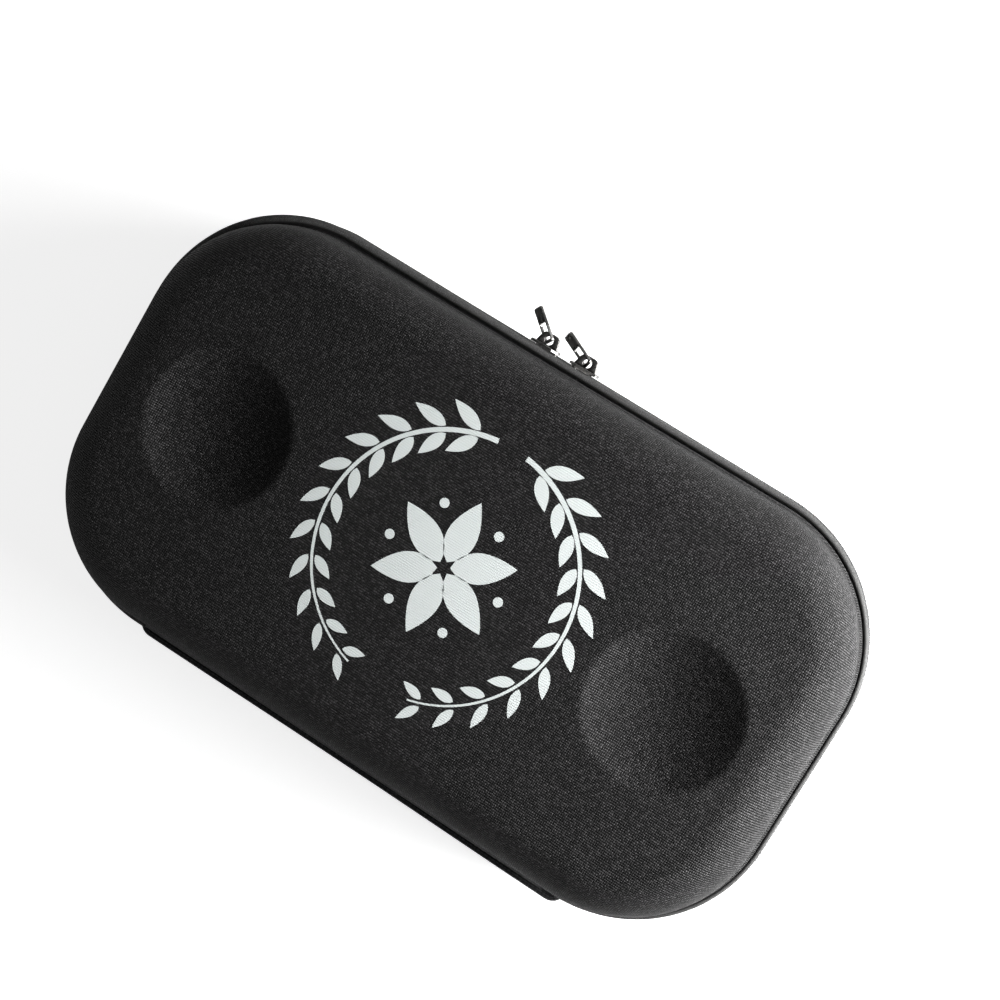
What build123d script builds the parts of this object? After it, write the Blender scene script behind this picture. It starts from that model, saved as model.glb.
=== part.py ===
"""Zip-round moulded hard case for a stethoscope.

Two thermoformed foam shells, a fabric hinge along the back, a coil zip with two sliders along the
other three sides, a webbing carry handle on the back wall, a mesh pocket in the lid and an elastic
strap in the base. Millimetres. The case lies on its base: +X runs along its length, -Y is the side
of the zip pulls, +Y the side of the hinge and handle, +Z is up. The origin is the centre of the
flat bottom face.
"""

import os
from math import acos, atan2, cos, degrees, radians, sin

from build123d import *

# ---------------------------------------------------------------- moulded shells
shell_length = 273.0  # outside the moulded walls, at their edge
shell_width = 150.0
corner_radius = 49.0  # plan radius of the walls
lid_height = 30.0  # closing plane to the top of the lid
base_height = 30.0  # underside of the base to the closing plane
rim_height = 8.0  # closing plane to the edge of each moulded wall
wall = 3.0  # foam with its laminated fabric
draft = 2.0  # lean of the walls, in degrees
lid_shoulder = 16.0  # radius from wall to top
base_shoulder = 12.0
rim_rounding = 0.6

# two round dishes pressed into the lid
dish_diameter = 54.0
dish_depth = 6.5
dish_from_end = 48.0  # end of the shell to the middle of each dish
dish_rounding = 5.0

# ---------------------------------------------------------------- lining and rim binding
lining_thickness = 0.8
seam_clearance = 0.4  # between the lining and what is sewn over it
binding_thickness = 1.6
binding_drop = 1.2  # from the edge of the wall down to the edge of the binding
binding_gap = 0.1
binding_rounding = 0.6

# ---------------------------------------------------------------- zip: tape, coil, stops
tape_thickness = 1.0
tape_bulge = 3.6  # how far the rolled tape stands out from the wall
tape_edge_cover = 0.6  # of the binding beyond the tape's sewn edge
tape_turn_radius = 1.4
tape_dip_radius = 0.7  # over the edge of the wall, down into the groove
tape_groove_radius = 1.0
tape_roll_radius = 0.8
tape_roll_height = 5.9  # middle of the roll from the closing plane
tape_return_radius = 0.55
tape_rim_clearance = 0.3
coil_thickness = 1.6
coil_width = 2.4
coil_split = 1.4  # between the two rows
coil_pitch = 2.0
coil_turn_length = 1.2  # of each turn, along the zip
coil_turn_thickness = 1.2
coil_turn_reach = 1.4  # of the turns, from the sewn edge of the row
coil_stand_out = 2.55  # middle of the coil from the wall
zip_end_inset = 3.5  # the zip starts this far before the back corners
stop_length = 2.6
stop_margin = 0.25

# ---------------------------------------------------------------- fabric hinge
hinge_end_gap = 0.5  # between the zip tape and the hinge fabric
hinge_split = 0.6  # between the two leaves, where the fabric bends

# ---------------------------------------------------------------- carry handle
handle_overhang = 3.5  # each end of the strap past the straight of the back wall
handle_width = 12.0
handle_thickness = 2.0
handle_stand_out = 11.0  # outer face of the strap from the wall
handle_drop = 8.6  # closing plane to the upper edge of the strap
handle_foot_length = 24.0  # the end folded back and sewn to the wall
handle_foot_gap = 0.1
anchor_length = 16.0
anchor_thickness = 0.8
anchor_corner = 1.5

# ---------------------------------------------------------------- inside the case
pocket_sheet = 0.6
pocket_level = 9.2  # closing plane to the mesh
pocket_mouth = -20.0  # y of the open edge
pocket_edge_gap = 0.1
hem_width = 3.0
hem_thickness = 1.6
strap_width = 25.0
strap_thickness = 1.5
strap_reach = 58.0  # half the length across the floor
strap_foot_length = 12.0
strap_ramp = 8.0
strap_lift = 8.5
strap_bend = 3.0
patch_thickness = 0.8
patch_corner = 1.5

# ---------------------------------------------------------------- sliders and pulls
slider_length = 10.8
slider_nose_half = 4.1
slider_tail_half = 3.6
slider_nose_taper = 2.6
slider_tip_half = 2.3
plate_thickness = 1.0
plate_rounding = 0.7
channel = 2.6  # between the two plates
lip_depth = 0.6
lip_thickness = 0.6
neck_length = 3.0
neck_thickness = 1.0
plate_stand_out = 5.2  # outer face of the front plate from the wall
crown_length = 8.4
crown_top = 6.0
crown_height = 4.3
crown_thickness = 1.6
crown_bend = 2.0
crown_eye = 3.1  # hole that the pull's bar turns in
pivot_height = 1.75  # above the front plate
right_slider_x = 10.8
left_slider_x = -4.6

pull_length = 12.2  # beyond the pivot
pull_width = 5.0
pull_thickness = 1.1
pull_bar = 1.2
pull_window_width = 3.6
pull_window_length = 5.8
pull_corner = 0.9
pull_edge = 0.2
pull_roll = 42.0  # lean of the pull's face, in degrees
right_pull_angle = 40.0  # from the line of the zip, outwards, in degrees
left_pull_angle = 25.0

# ---------------------------------------------------------------- worked out from the sizes
closing_z = base_height
back_straight = shell_length / 2 - corner_radius
side_straight = shell_width / 2 - corner_radius
half_length = shell_length / 2
half_width = shell_width / 2
zip_start_x = back_straight - zip_end_inset
seam_line = -(wall + lining_thickness + seam_clearance + tape_thickness / 2)
tape_level = rim_height - tape_rim_clearance - tape_thickness / 2  # under the edge of the wall
roll_centre = (tape_bulge - tape_thickness / 2 - tape_roll_radius, tape_roll_height)
groove_centre = (roll_centre[0] - tape_roll_radius - tape_groove_radius, tape_roll_height)
sewn_top = min(lid_height - lid_shoulder, base_height - base_shoulder)  # where the lining bends
coil_edge = coil_split / 2 + coil_width
pivot_y = -(half_width + plate_stand_out + pivot_height)
TO_LID = 1
TO_BASE = -1


def moulded_form(inset, height, shoulder, dished):
    """Solid inside a moulded shell's surface, moved in by inset, standing on the XY plane."""
    with BuildPart() as form:
        with BuildSketch(Plane.XY):
            RectangleRounded(
                shell_length - 2 * inset, shell_width - 2 * inset, corner_radius - inset
            )
        extrude(amount=height - rim_height - inset, taper=draft)
        fillet(form.faces().sort_by(Axis.Z)[-1].edges(), shoulder - inset)
        if dished:
            dish_sphere = ((dish_diameter / 2) ** 2 + dish_depth**2) / (2 * dish_depth)
            dish_centre = height - rim_height - dish_depth + dish_sphere
            dish_x = half_length - dish_from_end
            with Locations((-dish_x, 0, dish_centre), (dish_x, 0, dish_centre)):
                Sphere(dish_sphere + inset, mode=Mode.SUBTRACT)
            dished_top = form.faces().filter_by(GeomType.PLANE).sort_by(Axis.Z)[-1]
            dish_rims = [rim.edges() for rim in dished_top.inner_wires()]
            fillet(dish_rims, dish_rounding - inset)
    return form.part


def lid_place(solid):
    """Lift a form that stands on the XY plane to the edge of the lid's wall."""
    return Pos(0, 0, closing_z + rim_height) * solid


def base_place(solid):
    """Turn a form over and hang it from the edge of the base's wall."""
    return Pos(0, 0, closing_z - rim_height) * solid.rotate(Axis.X, 180)


def section_plane(x, side):
    """Plane across the back wall: sketch x is outwards from the wall, y away from the split."""
    if side == TO_LID:
        return Plane(origin=(x, half_width, closing_z), x_dir=(0, 1, 0), z_dir=(1, 0, 0))
    return Plane(origin=(x, half_width, closing_z), x_dir=(0, 1, 0), z_dir=(-1, 0, 0))


def zip_path(start_x):
    """Line of the wall from the back, round both ends and the front, to the back again."""
    with BuildLine(Plane.XY.offset(closing_z)) as path:
        Polyline((start_x, half_width), (back_straight, half_width))
        CenterArc((back_straight, side_straight), corner_radius, 90, -90)
        Line((half_length, side_straight), (half_length, -side_straight))
        CenterArc((back_straight, -side_straight), corner_radius, 0, -90)
        Line((back_straight, -half_width), (-back_straight, -half_width))
        CenterArc((-back_straight, -side_straight), corner_radius, -90, -90)
        Line((-half_length, -side_straight), (-half_length, side_straight))
        CenterArc((-back_straight, side_straight), corner_radius, 180, -90)
        Line((-back_straight, half_width), (-start_x, half_width))
    return path.wire()


def seam_and_roll_lines(roll_arc):
    """Lines of the tape's middle: flat on the lining, under the wall, into the groove, round the roll."""
    turn_centre = (seam_line + tape_turn_radius, tape_level + tape_turn_radius)
    dip_x = groove_centre[0] - tape_groove_radius
    Line((seam_line, sewn_top - tape_edge_cover), (seam_line, turn_centre[1]))
    CenterArc(turn_centre, tape_turn_radius, 180, 90)
    Line((turn_centre[0], tape_level), (dip_x - tape_dip_radius, tape_level))
    CenterArc((dip_x - tape_dip_radius, tape_level - tape_dip_radius), tape_dip_radius, 90, -90)
    Line((dip_x, tape_level - tape_dip_radius), (dip_x, tape_roll_height))
    CenterArc(groove_centre, tape_groove_radius, 180, 180)
    CenterArc(roll_centre, tape_roll_radius, 180, -roll_arc)


def zip_tape(side):
    """One half of the zip tape: sewn inside the wall, rolled out under its edge, to the coil."""
    reach = tape_roll_radius + tape_return_radius
    return_angle = degrees(
        acos((coil_stand_out - roll_centre[0] + tape_return_radius) / reach)
    )
    return_centre = (
        roll_centre[0] + reach * cos(radians(return_angle)),
        roll_centre[1] - reach * sin(radians(return_angle)),
    )
    with BuildPart() as tape:
        with BuildSketch(section_plane(zip_start_x, side)):
            with BuildLine():
                seam_and_roll_lines(180 + return_angle)
                CenterArc(return_centre, tape_return_radius, 180 - return_angle, return_angle)
                Line((coil_stand_out, return_centre[1]), (coil_stand_out, coil_edge))
            trace(line_width=tape_thickness)
        sweep(path=zip_path(zip_start_x))
    return tape.part


def zip_coil(side):
    """One row of the zip's coil: its edge sewn along the tape, and the turns that mesh."""
    start_x = zip_start_x + stop_length
    path = zip_path(start_x)
    turn_count = int(path.length / coil_pitch)
    sewn_edge = coil_split / 2 + coil_turn_reach
    turn_places = []
    for turn in range(turn_count):
        share = (turn + 0.5) / turn_count
        at, along = path @ share, path % share
        on_path = Location((at.X, at.Y), degrees(atan2(along.Y, along.X)))
        turn_places.append(on_path * Location((0, coil_stand_out)))
    with BuildPart() as coil:
        with BuildSketch(section_plane(start_x, side)):
            with Locations((coil_stand_out, (sewn_edge + coil_edge) / 2)):
                Rectangle(coil_thickness, coil_edge - sewn_edge)
        sweep(path=path)
        with BuildSketch(Plane.XY.offset(closing_z + side * sewn_edge)):
            with Locations(turn_places):
                Rectangle(coil_turn_length, coil_turn_thickness)
        extrude(amount=-side * coil_turn_reach)
    return coil.part


def hinge_leaf(side):
    """Half of the fabric hinge: sewn in as the zip tape is, ending where the fabric bends."""
    leaf_half = zip_start_x - hinge_end_gap
    with BuildPart() as leaf:
        with BuildSketch(section_plane(0, side)):
            with BuildLine():
                seam_and_roll_lines(180)
                Line(
                    (roll_centre[0] + tape_roll_radius, roll_centre[1]),
                    (roll_centre[0] + tape_roll_radius, hinge_split / 2),
                )
            trace(line_width=tape_thickness)
        extrude(amount=leaf_half, both=True)
    return leaf.part


def rim_binding(side):
    """Bias binding round the inside of the rim, over the seam of lining and tape."""
    outer = wall + lining_thickness + seam_clearance + tape_thickness + binding_gap
    inner = outer + binding_thickness
    low = rim_height - binding_drop
    binding_height = sewn_top - low
    start = closing_z + low if side == TO_LID else closing_z - low - binding_height
    with BuildPart() as binding:
        with BuildSketch(Plane.XY.offset(start)):
            RectangleRounded(
                shell_length - 2 * outer, shell_width - 2 * outer, corner_radius - outer
            )
            RectangleRounded(
                shell_length - 2 * inner,
                shell_width - 2 * inner,
                corner_radius - inner,
                mode=Mode.SUBTRACT,
            )
        extrude(amount=binding_height)
        inside_edges = binding.faces().filter_by(Axis.Z).sort_by(Axis.Z)
        fillet(
            [inside_edges[0].inner_wires()[0].edges(), inside_edges[-1].inner_wires()[0].edges()],
            binding_rounding,
        )
    return binding.part


def front_plane(x, stand_out):
    """Plane along the front wall, facing outwards: sketch x is +X and y is +Z."""
    return Plane(
        origin=(x, -(half_width + stand_out), closing_z), x_dir=(1, 0, 0), z_dir=(0, -1, 0)
    )


def slider_outline(nose):
    """Outline of a slider plate: shouldered nose, slightly narrower tail."""
    tail = -slider_length / 2
    shoulder = slider_length / 2 - slider_nose_taper
    tip = slider_length / 2
    points = [
        (tail, -slider_tail_half),
        (shoulder, -slider_nose_half),
        (tip, -slider_tip_half),
        (tip, slider_tip_half),
        (shoulder, slider_nose_half),
        (tail, slider_tail_half),
    ]
    with BuildSketch() as outline:
        with BuildLine():
            Polyline([(nose * x, y) for x, y in points], close=True)
        make_face()
        fillet(outline.vertices(), plate_rounding)
    return outline.sketch


def slider_body(x, nose):
    """Zip slider: two plates joined by a neck at the nose, with a crown for the pull."""
    outline = slider_outline(nose)
    channel_floor = plate_stand_out - plate_thickness - channel
    with BuildPart() as slider:
        with BuildSketch(front_plane(x, plate_stand_out - plate_thickness)):
            add(outline)
        extrude(amount=plate_thickness)
        with BuildSketch(front_plane(x, channel_floor - plate_thickness)):
            add(outline)
        extrude(amount=plate_thickness)
        with BuildSketch(front_plane(x, plate_stand_out - plate_thickness - lip_depth)):
            add(outline)
            offset(outline, amount=-lip_thickness, kind=Kind.INTERSECTION, mode=Mode.SUBTRACT)
            for end in (-1, 1):
                with Locations((end * slider_length / 2, 0)):
                    Rectangle(2 * slider_nose_taper, 2 * slider_nose_half, mode=Mode.SUBTRACT)
        extrude(amount=lip_depth)
        with BuildSketch(front_plane(x, channel_floor)):
            with Locations((nose * (slider_length - neck_length) / 2, 0)):
                SlotOverall(neck_length, neck_thickness)
        extrude(amount=channel)
        crown_plane = Plane(
            origin=(x, -(half_width + plate_stand_out), closing_z),
            x_dir=(1, 0, 0),
            z_dir=(0, 0, -1),
        )
        with BuildSketch(crown_plane):
            with BuildLine():
                FilletPolyline(
                    (-crown_length / 2, 0),
                    (-crown_top / 2, crown_height),
                    (crown_top / 2, crown_height),
                    (crown_length / 2, 0),
                    radius=crown_bend,
                )
                Line((crown_length / 2, 0), (-crown_length / 2, 0))
            make_face()
            with Locations((0, pivot_height)):
                Circle(crown_eye / 2, mode=Mode.SUBTRACT)
        extrude(amount=crown_thickness / 2, both=True)
    return slider.part


def slider_pull(x, angle):
    """Flat pull: a tab with a window whose end bar lies in the slider's crown."""
    along = Vector(cos(radians(angle)), -sin(radians(angle)), 0)
    outwards = along.cross(Vector(0, 0, 1))
    across = Vector(0, 0, 1) * cos(radians(pull_roll)) + outwards * sin(radians(pull_roll))
    pull_plane = Plane(origin=(x, pivot_y, closing_z), x_dir=along, z_dir=along.cross(across))
    overall = pull_length + pull_bar / 2
    with BuildPart() as pull:
        with BuildSketch(pull_plane):
            with Locations((overall / 2 - pull_bar / 2, 0)):
                RectangleRounded(overall, pull_width, pull_corner)
            with Locations((pull_bar / 2 + pull_window_length / 2, 0)):
                RectangleRounded(
                    pull_window_length, pull_window_width, pull_corner / 2, mode=Mode.SUBTRACT
                )
        extrude(amount=pull_thickness / 2, both=True)
        broad_faces = pull.faces().sort_by(SortBy.AREA)[-2:]
        chamfer(broad_faces.edges(), pull_edge)
    return pull.part


# ---------------------------------------------------------------- base half
with BuildPart() as base_shell:
    add(base_place(moulded_form(0, base_height, base_shoulder, False)))
    add(base_place(moulded_form(wall, base_height, base_shoulder, False)), mode=Mode.SUBTRACT)
    fillet(base_shell.faces().sort_by(Axis.Z)[-1].outer_wire().edges(), rim_rounding)
base_shell.part.label = "base_shell"

with BuildPart() as base_lining:
    add(base_place(moulded_form(wall, base_height, base_shoulder, False)))
    add(
        base_place(moulded_form(wall + lining_thickness, base_height, base_shoulder, False)),
        mode=Mode.SUBTRACT,
    )
base_lining.part.label = "base_lining"

# ---------------------------------------------------------------- lid half
with BuildPart() as lid_shell:
    add(lid_place(moulded_form(0, lid_height, lid_shoulder, True)))
    add(lid_place(moulded_form(wall, lid_height, lid_shoulder, True)), mode=Mode.SUBTRACT)
    fillet(lid_shell.faces().sort_by(Axis.Z)[0].outer_wire().edges(), rim_rounding)
lid_shell.part.label = "lid_shell"

with BuildPart() as lid_lining:
    add(lid_place(moulded_form(wall, lid_height, lid_shoulder, True)))
    add(
        lid_place(moulded_form(wall + lining_thickness, lid_height, lid_shoulder, True)),
        mode=Mode.SUBTRACT,
    )
lid_lining.part.label = "lid_lining"

# ---------------------------------------------------------------- zip, hinge and binding
halves = []
for half_name, half_side in (("base", TO_BASE), ("lid", TO_LID)):
    for piece_name, piece in (
        ("zip_tape_", zip_tape(half_side)),
        ("zip_coil_", zip_coil(half_side)),
        ("hinge_fabric_", hinge_leaf(half_side)),
        ("rim_binding_", rim_binding(half_side)),
    ):
        piece.label = piece_name + half_name
        halves.append(piece)

with BuildPart() as zip_end_stops:
    for stop_end in (-1, 1):
        stop_plane = Plane(
            origin=(stop_end * zip_start_x, half_width, closing_z),
            x_dir=(0, 1, 0),
            z_dir=(stop_end, 0, 0),
        )
        with BuildSketch(stop_plane):
            with Locations((coil_stand_out, -stop_end * (coil_edge + coil_split / 2) / 2)):
                Rectangle(coil_thickness + 2 * stop_margin, coil_width)
        extrude(amount=stop_length)
zip_end_stops.part.label = "zip_end_stops"

# ---------------------------------------------------------------- carry handle
handle_half = back_straight + handle_overhang
handle_middle = handle_stand_out - handle_thickness / 2
handle_foot = handle_foot_gap + anchor_thickness + handle_thickness / 2
fold_radius = (handle_middle - handle_foot) / 2
fold_x = handle_half - handle_thickness / 2 - fold_radius
with BuildPart() as handle_strap:
    with BuildSketch(Plane((0, half_width, closing_z - handle_drop))):
        with BuildLine():
            Line((-fold_x, handle_middle), (fold_x, handle_middle))
            for fold_end in (-1, 1):
                foot_end = fold_end * (handle_half - handle_foot_length)
                CenterArc(
                    (fold_end * fold_x, handle_foot + fold_radius), fold_radius, -90, fold_end * 180
                )
                Line((fold_end * fold_x, handle_foot), (foot_end, handle_foot))
        trace(line_width=handle_thickness)
    extrude(amount=-handle_width)
handle_strap.part.label = "handle_strap"

anchors = []
for anchor_name, anchor_end in (("handle_anchor_left", -1), ("handle_anchor_right", 1)):
    with BuildPart() as anchor:
        anchor_plane = Plane(
            origin=(0, half_width + handle_foot_gap, closing_z), x_dir=(1, 0, 0), z_dir=(0, 1, 0)
        )
        anchor_x = anchor_end * (handle_half - handle_foot_length + anchor_length / 2)
        with BuildSketch(anchor_plane):
            with Locations((anchor_x, handle_drop + handle_width / 2)):
                RectangleRounded(anchor_length, handle_width, anchor_corner)
        extrude(amount=anchor_thickness)
    anchor.part.label = anchor_name
    anchors.append(anchor.part)

# ---------------------------------------------------------------- mesh pocket in the lid
pocket_inset = (
    wall
    + lining_thickness
    + seam_clearance
    + tape_thickness
    + binding_gap
    + binding_thickness
    + pocket_edge_gap
)
with BuildPart() as mesh_pocket:
    with BuildSketch(Plane.XY.offset(closing_z + pocket_level)):
        RectangleRounded(
            shell_length - 2 * pocket_inset,
            shell_width - 2 * pocket_inset,
            corner_radius - pocket_inset,
        )
        with Locations((0, pocket_mouth)):
            Rectangle(shell_length, shell_width, align=(Align.CENTER, Align.MAX), mode=Mode.SUBTRACT)
    extrude(amount=pocket_sheet)
mesh_pocket.part.label = "mesh_pocket"

with BuildPart() as pocket_hem:
    with BuildSketch(Plane.XY.offset(closing_z + pocket_level + pocket_sheet / 2 - hem_thickness / 2)):
        RectangleRounded(
            shell_length - 2 * pocket_inset,
            shell_width - 2 * pocket_inset,
            corner_radius - pocket_inset,
        )
        with Locations((0, pocket_mouth - hem_width / 2)):
            Rectangle(shell_length, hem_width, mode=Mode.INTERSECT)
    extrude(amount=hem_thickness)
pocket_hem.part.label = "pocket_hem"

# ---------------------------------------------------------------- elastic strap in the base
floor_z = wall + lining_thickness
strap_low = floor_z + strap_thickness / 2
strap_high = floor_z + strap_lift + strap_thickness / 2
with BuildPart() as tubing_strap:
    with BuildSketch(Plane.YZ):
        with BuildLine():
            FilletPolyline(
                (-strap_reach, strap_low),
                (-strap_reach + strap_foot_length, strap_low),
                (-strap_reach + strap_foot_length + strap_ramp, strap_high),
                (strap_reach - strap_foot_length - strap_ramp, strap_high),
                (strap_reach - strap_foot_length, strap_low),
                (strap_reach, strap_low),
                radius=strap_bend,
            )
        trace(line_width=strap_thickness)
    extrude(amount=strap_width / 2, both=True)
tubing_strap.part.label = "tubing_strap"

with BuildPart() as strap_patches:
    with BuildSketch(Plane.XY.offset(floor_z + strap_thickness)):
        for patch_end in (-1, 1):
            with Locations((0, patch_end * (strap_reach - strap_foot_length / 2 + strap_bend / 2))):
                RectangleRounded(strap_width, strap_foot_length - strap_bend, patch_corner)
    extrude(amount=patch_thickness)
strap_patches.part.label = "strap_patches"

# ---------------------------------------------------------------- sliders
sliders = []
for slider_name, slider_x, slider_nose, swing in (
    ("right", right_slider_x, -1, right_pull_angle),
    ("left", left_slider_x, 1, left_pull_angle),
):
    for piece_name, piece in (
        ("slider_body_", slider_body(slider_x, slider_nose)),
        ("slider_pull_", slider_pull(slider_x, swing)),
    ):
        piece.label = piece_name + slider_name
        sliders.append(piece)

# ---------------------------------------------------------------- one file for each piece
single_pieces = [
    base_shell.part,
    base_lining.part,
    lid_shell.part,
    lid_lining.part,
    zip_end_stops.part,
    handle_strap.part,
    mesh_pocket.part,
    pocket_hem.part,
    tubing_strap.part,
    strap_patches.part,
]
os.makedirs("parts", exist_ok=True)
for finished in single_pieces + anchors + halves + sliders:
    export_step(finished, f"parts/{finished.label}.step")
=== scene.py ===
"""Looks for a zip-round moulded hard case for a stethoscope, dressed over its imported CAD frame.

Metres throughout, in the frame of the CAD: +X along the case, -Y the side of the zip pulls, +Y the
side of the fabric hinge and carry handle, +Z up, the floor at zero.
"""

import logging
import math
from abc import ABC, abstractmethod
from dataclasses import dataclass
from enum import Enum
from typing import Callable, Optional, Sequence, Union

import bmesh
import bpy
import numpy as np
from mathutils import Matrix, Vector, noise
from mathutils.geometry import tessellate_polygon


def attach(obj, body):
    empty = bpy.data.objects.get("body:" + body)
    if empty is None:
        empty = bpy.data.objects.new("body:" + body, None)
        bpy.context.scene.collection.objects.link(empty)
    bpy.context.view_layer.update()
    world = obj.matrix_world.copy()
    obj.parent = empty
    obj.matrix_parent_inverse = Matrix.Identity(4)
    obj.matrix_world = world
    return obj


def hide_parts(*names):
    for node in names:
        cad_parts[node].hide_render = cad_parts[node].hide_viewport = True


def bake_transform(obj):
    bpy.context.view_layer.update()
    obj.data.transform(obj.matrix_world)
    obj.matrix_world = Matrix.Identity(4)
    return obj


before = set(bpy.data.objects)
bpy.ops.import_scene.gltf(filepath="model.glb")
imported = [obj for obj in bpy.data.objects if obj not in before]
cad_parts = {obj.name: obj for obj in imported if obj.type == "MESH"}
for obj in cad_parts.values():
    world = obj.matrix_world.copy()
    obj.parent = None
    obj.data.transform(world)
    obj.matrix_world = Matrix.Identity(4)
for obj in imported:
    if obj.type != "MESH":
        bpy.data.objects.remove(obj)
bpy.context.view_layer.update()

LOG = logging.getLogger("hard_case")
MM = 0.001
DUST_COLOUR = (0.4, 0.39, 0.37)
WORN_LIFT = 1.5  # how much paler a rubbed thread is
LEAST_LIFT = 0.002  # what every paler shade adds, so that black isn't left black
Colour = tuple[float, float, float]
Place = tuple[float, float, float]
Pair = tuple[float, float]
Outline = list[Pair]
Node = bpy.types.Node
Socket = bpy.types.NodeSocket
Feed = Union[float, Sequence[float], Socket]
Feeds = dict[Union[int, str], Feed]


class Half(Enum):
    """The two halves of the case, each with the way it faces from the closing plane."""

    BASE = -1
    LID = 1

    @property
    def body(self) -> str:
        """Name of the CAD body that this half's pieces ride on."""
        return self.name.lower()


class Side(Enum):
    """The two ends of the case."""

    LEFT = -1
    RIGHT = 1

    def __str__(self) -> str:
        """The end's word in the names of pieces."""
        return self.name.lower()


# --- shader nodes
class NodeBench:
    """Places and wires the nodes of one shader tree."""

    def __init__(self, tree: bpy.types.NodeTree) -> None:
        """Starts on an emptied tree.

        Args:
            tree: The material's or group's node tree.
        """
        self.tree = tree
        self.tree.nodes.clear()

    def node(self, kind: str, feeds: Optional[Feeds] = None, **settings: object) -> Node:
        """Adds a node.

        Args:
            kind: Blender's type name of the node.
            feeds: What its inputs get, by their names or numbers.
            settings: Properties to set on it.

        Returns:
            The new node.
        """
        made = self.tree.nodes.new(kind)
        for name, value in settings.items():
            setattr(made, name, value)
        count = len(self.tree.nodes)
        made.location = (count * 60.0, -(count % 7) * 160.0)
        self.fill(made, feeds or {})
        return made

    def fill(self, node: Node, feeds: Feeds) -> None:
        """Links a node's inputs to other nodes' outputs, or sets their constants.

        Args:
            node: The node.
            feeds: For each input an output socket or a constant.
        """
        for name, value in feeds.items():
            if isinstance(value, Socket):
                self.tree.links.new(value, node.inputs[name])
            else:
                node.inputs[name].default_value = value

    def maths(self, operation: str, *values: Feed, clamp: bool = False) -> Socket:
        """Adds a Math node.

        Args:
            operation: Blender's name of the operation.
            values: Its inputs, each a socket or a number.
            clamp: Whether the result is held between 0 and 1.

        Returns:
            The result's socket.
        """
        made = self.node("ShaderNodeMath", dict(enumerate(values)), operation=operation, use_clamp=clamp)
        return made.outputs[0]

    def times(self, first: Feed, second: Feed) -> Socket:
        """Multiplies two numbers."""
        return self.maths("MULTIPLY", first, second)

    def vector(self, operation: str, *values: Feed) -> Node:
        """Adds a Vector Math node."""
        return self.node("ShaderNodeVectorMath", dict(enumerate(values)), operation=operation)

    def parts(self, value: Feed) -> Sequence[Socket]:
        """The three numbers of a vector."""
        return self.node("ShaderNodeSeparateXYZ", {0: value}).outputs

    def spread(self, value: Feed, low: Feed, high: Feed, to_low: float = 0.0, to_high: float = 1.0
               ) -> Socket:
        """Maps a range smoothly on another, held at both ends.

        Args:
            value: What is mapped.
            low: Start of the range.
            high: End of the range.
            to_low: What the start becomes.
            to_high: What the end becomes.

        Returns:
            The result's socket.
        """
        feeds = {"Value": value, "From Min": low, "From Max": high, "To Min": to_low, "To Max": to_high}
        return self.node("ShaderNodeMapRange", feeds, interpolation_type="SMOOTHSTEP").outputs["Result"]

    def cloth(self) -> Socket:
        """Place on the piece's flat cloth."""
        return self.node("ShaderNodeAttribute", attribute_name="cloth").outputs["Vector"]

    def emboss(self, shader: Node, height: Socket) -> None:
        """Gives a shader's surface a fine height.

        Args:
            shader: The material's Principled BSDF.
            height: The height in metres.
        """
        bump = self.node("ShaderNodeBump", {"Distance": 1.0, "Height": height})
        self.fill(shader, {"Normal": bump.outputs[0]})

    def blend(self, factor: Feed, first: Feed, second: Feed) -> Socket:
        """Mixes two colours.

        Args:
            factor: Share of the second colour.
            first: A colour or its socket.
            second: A colour or its socket.

        Returns:
            The mixed colour's socket.
        """
        first, second = ((*part, 1.0) if isinstance(part, tuple) else part for part in (first, second))
        return self.node("ShaderNodeMix", {0: factor, 6: first, 7: second}, data_type="RGBA").outputs[2]

    def noise(self, at: Feed, scale: Feed, detail: float = 2.0, roughness: float = 0.5) -> Socket:
        """Adds a noise texture.

        Args:
            at: Where it is read.
            scale: Its scale per metre.
            detail: Its octaves.
            roughness: How much the finer octaves count.

        Returns:
            The noise value's socket.
        """
        feeds = {"Vector": at, "Scale": scale, "Detail": detail, "Roughness": roughness}
        return self.node("ShaderNodeTexNoise", feeds).outputs[0]

    def group(self, effect: "Effect", **values: Feed) -> Sequence[Socket]:
        """Places a shared effect.

        Args:
            effect: The effect to place.
            values: Its inputs by name, with _ for each space.

        Returns:
            The group's outputs.
        """
        feeds = {name.replace("_", " "): value for name, value in values.items()}
        return self.node("ShaderNodeGroup", feeds, node_tree=effect.tree()).outputs

    def seen(self, mirrored: Feed) -> Socket:
        """Finds the rays that see the studio's white surround, not its soft light.

        Args:
            mirrored: Share of the surround that polished metal mirrors.

        Returns:
            One for the camera's rays, that share for mirrored ones, and nothing for the rest.
        """
        rays = self.node("ShaderNodeLightPath").outputs
        straight = self.maths("MAXIMUM", rays["Is Camera Ray"], rays["Is Transmission Ray"])
        return self.maths("MAXIMUM", straight, self.times(rays["Is Glossy Ray"], mirrored))

    def mix_shaders(self, factor: Feed, first: Node, second: Node) -> Socket:
        """Mixes two shaders."""
        feeds = {0: factor, 1: first.outputs[0], 2: second.outputs[0]}
        return self.node("ShaderNodeMixShader", feeds).outputs[0]


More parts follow.
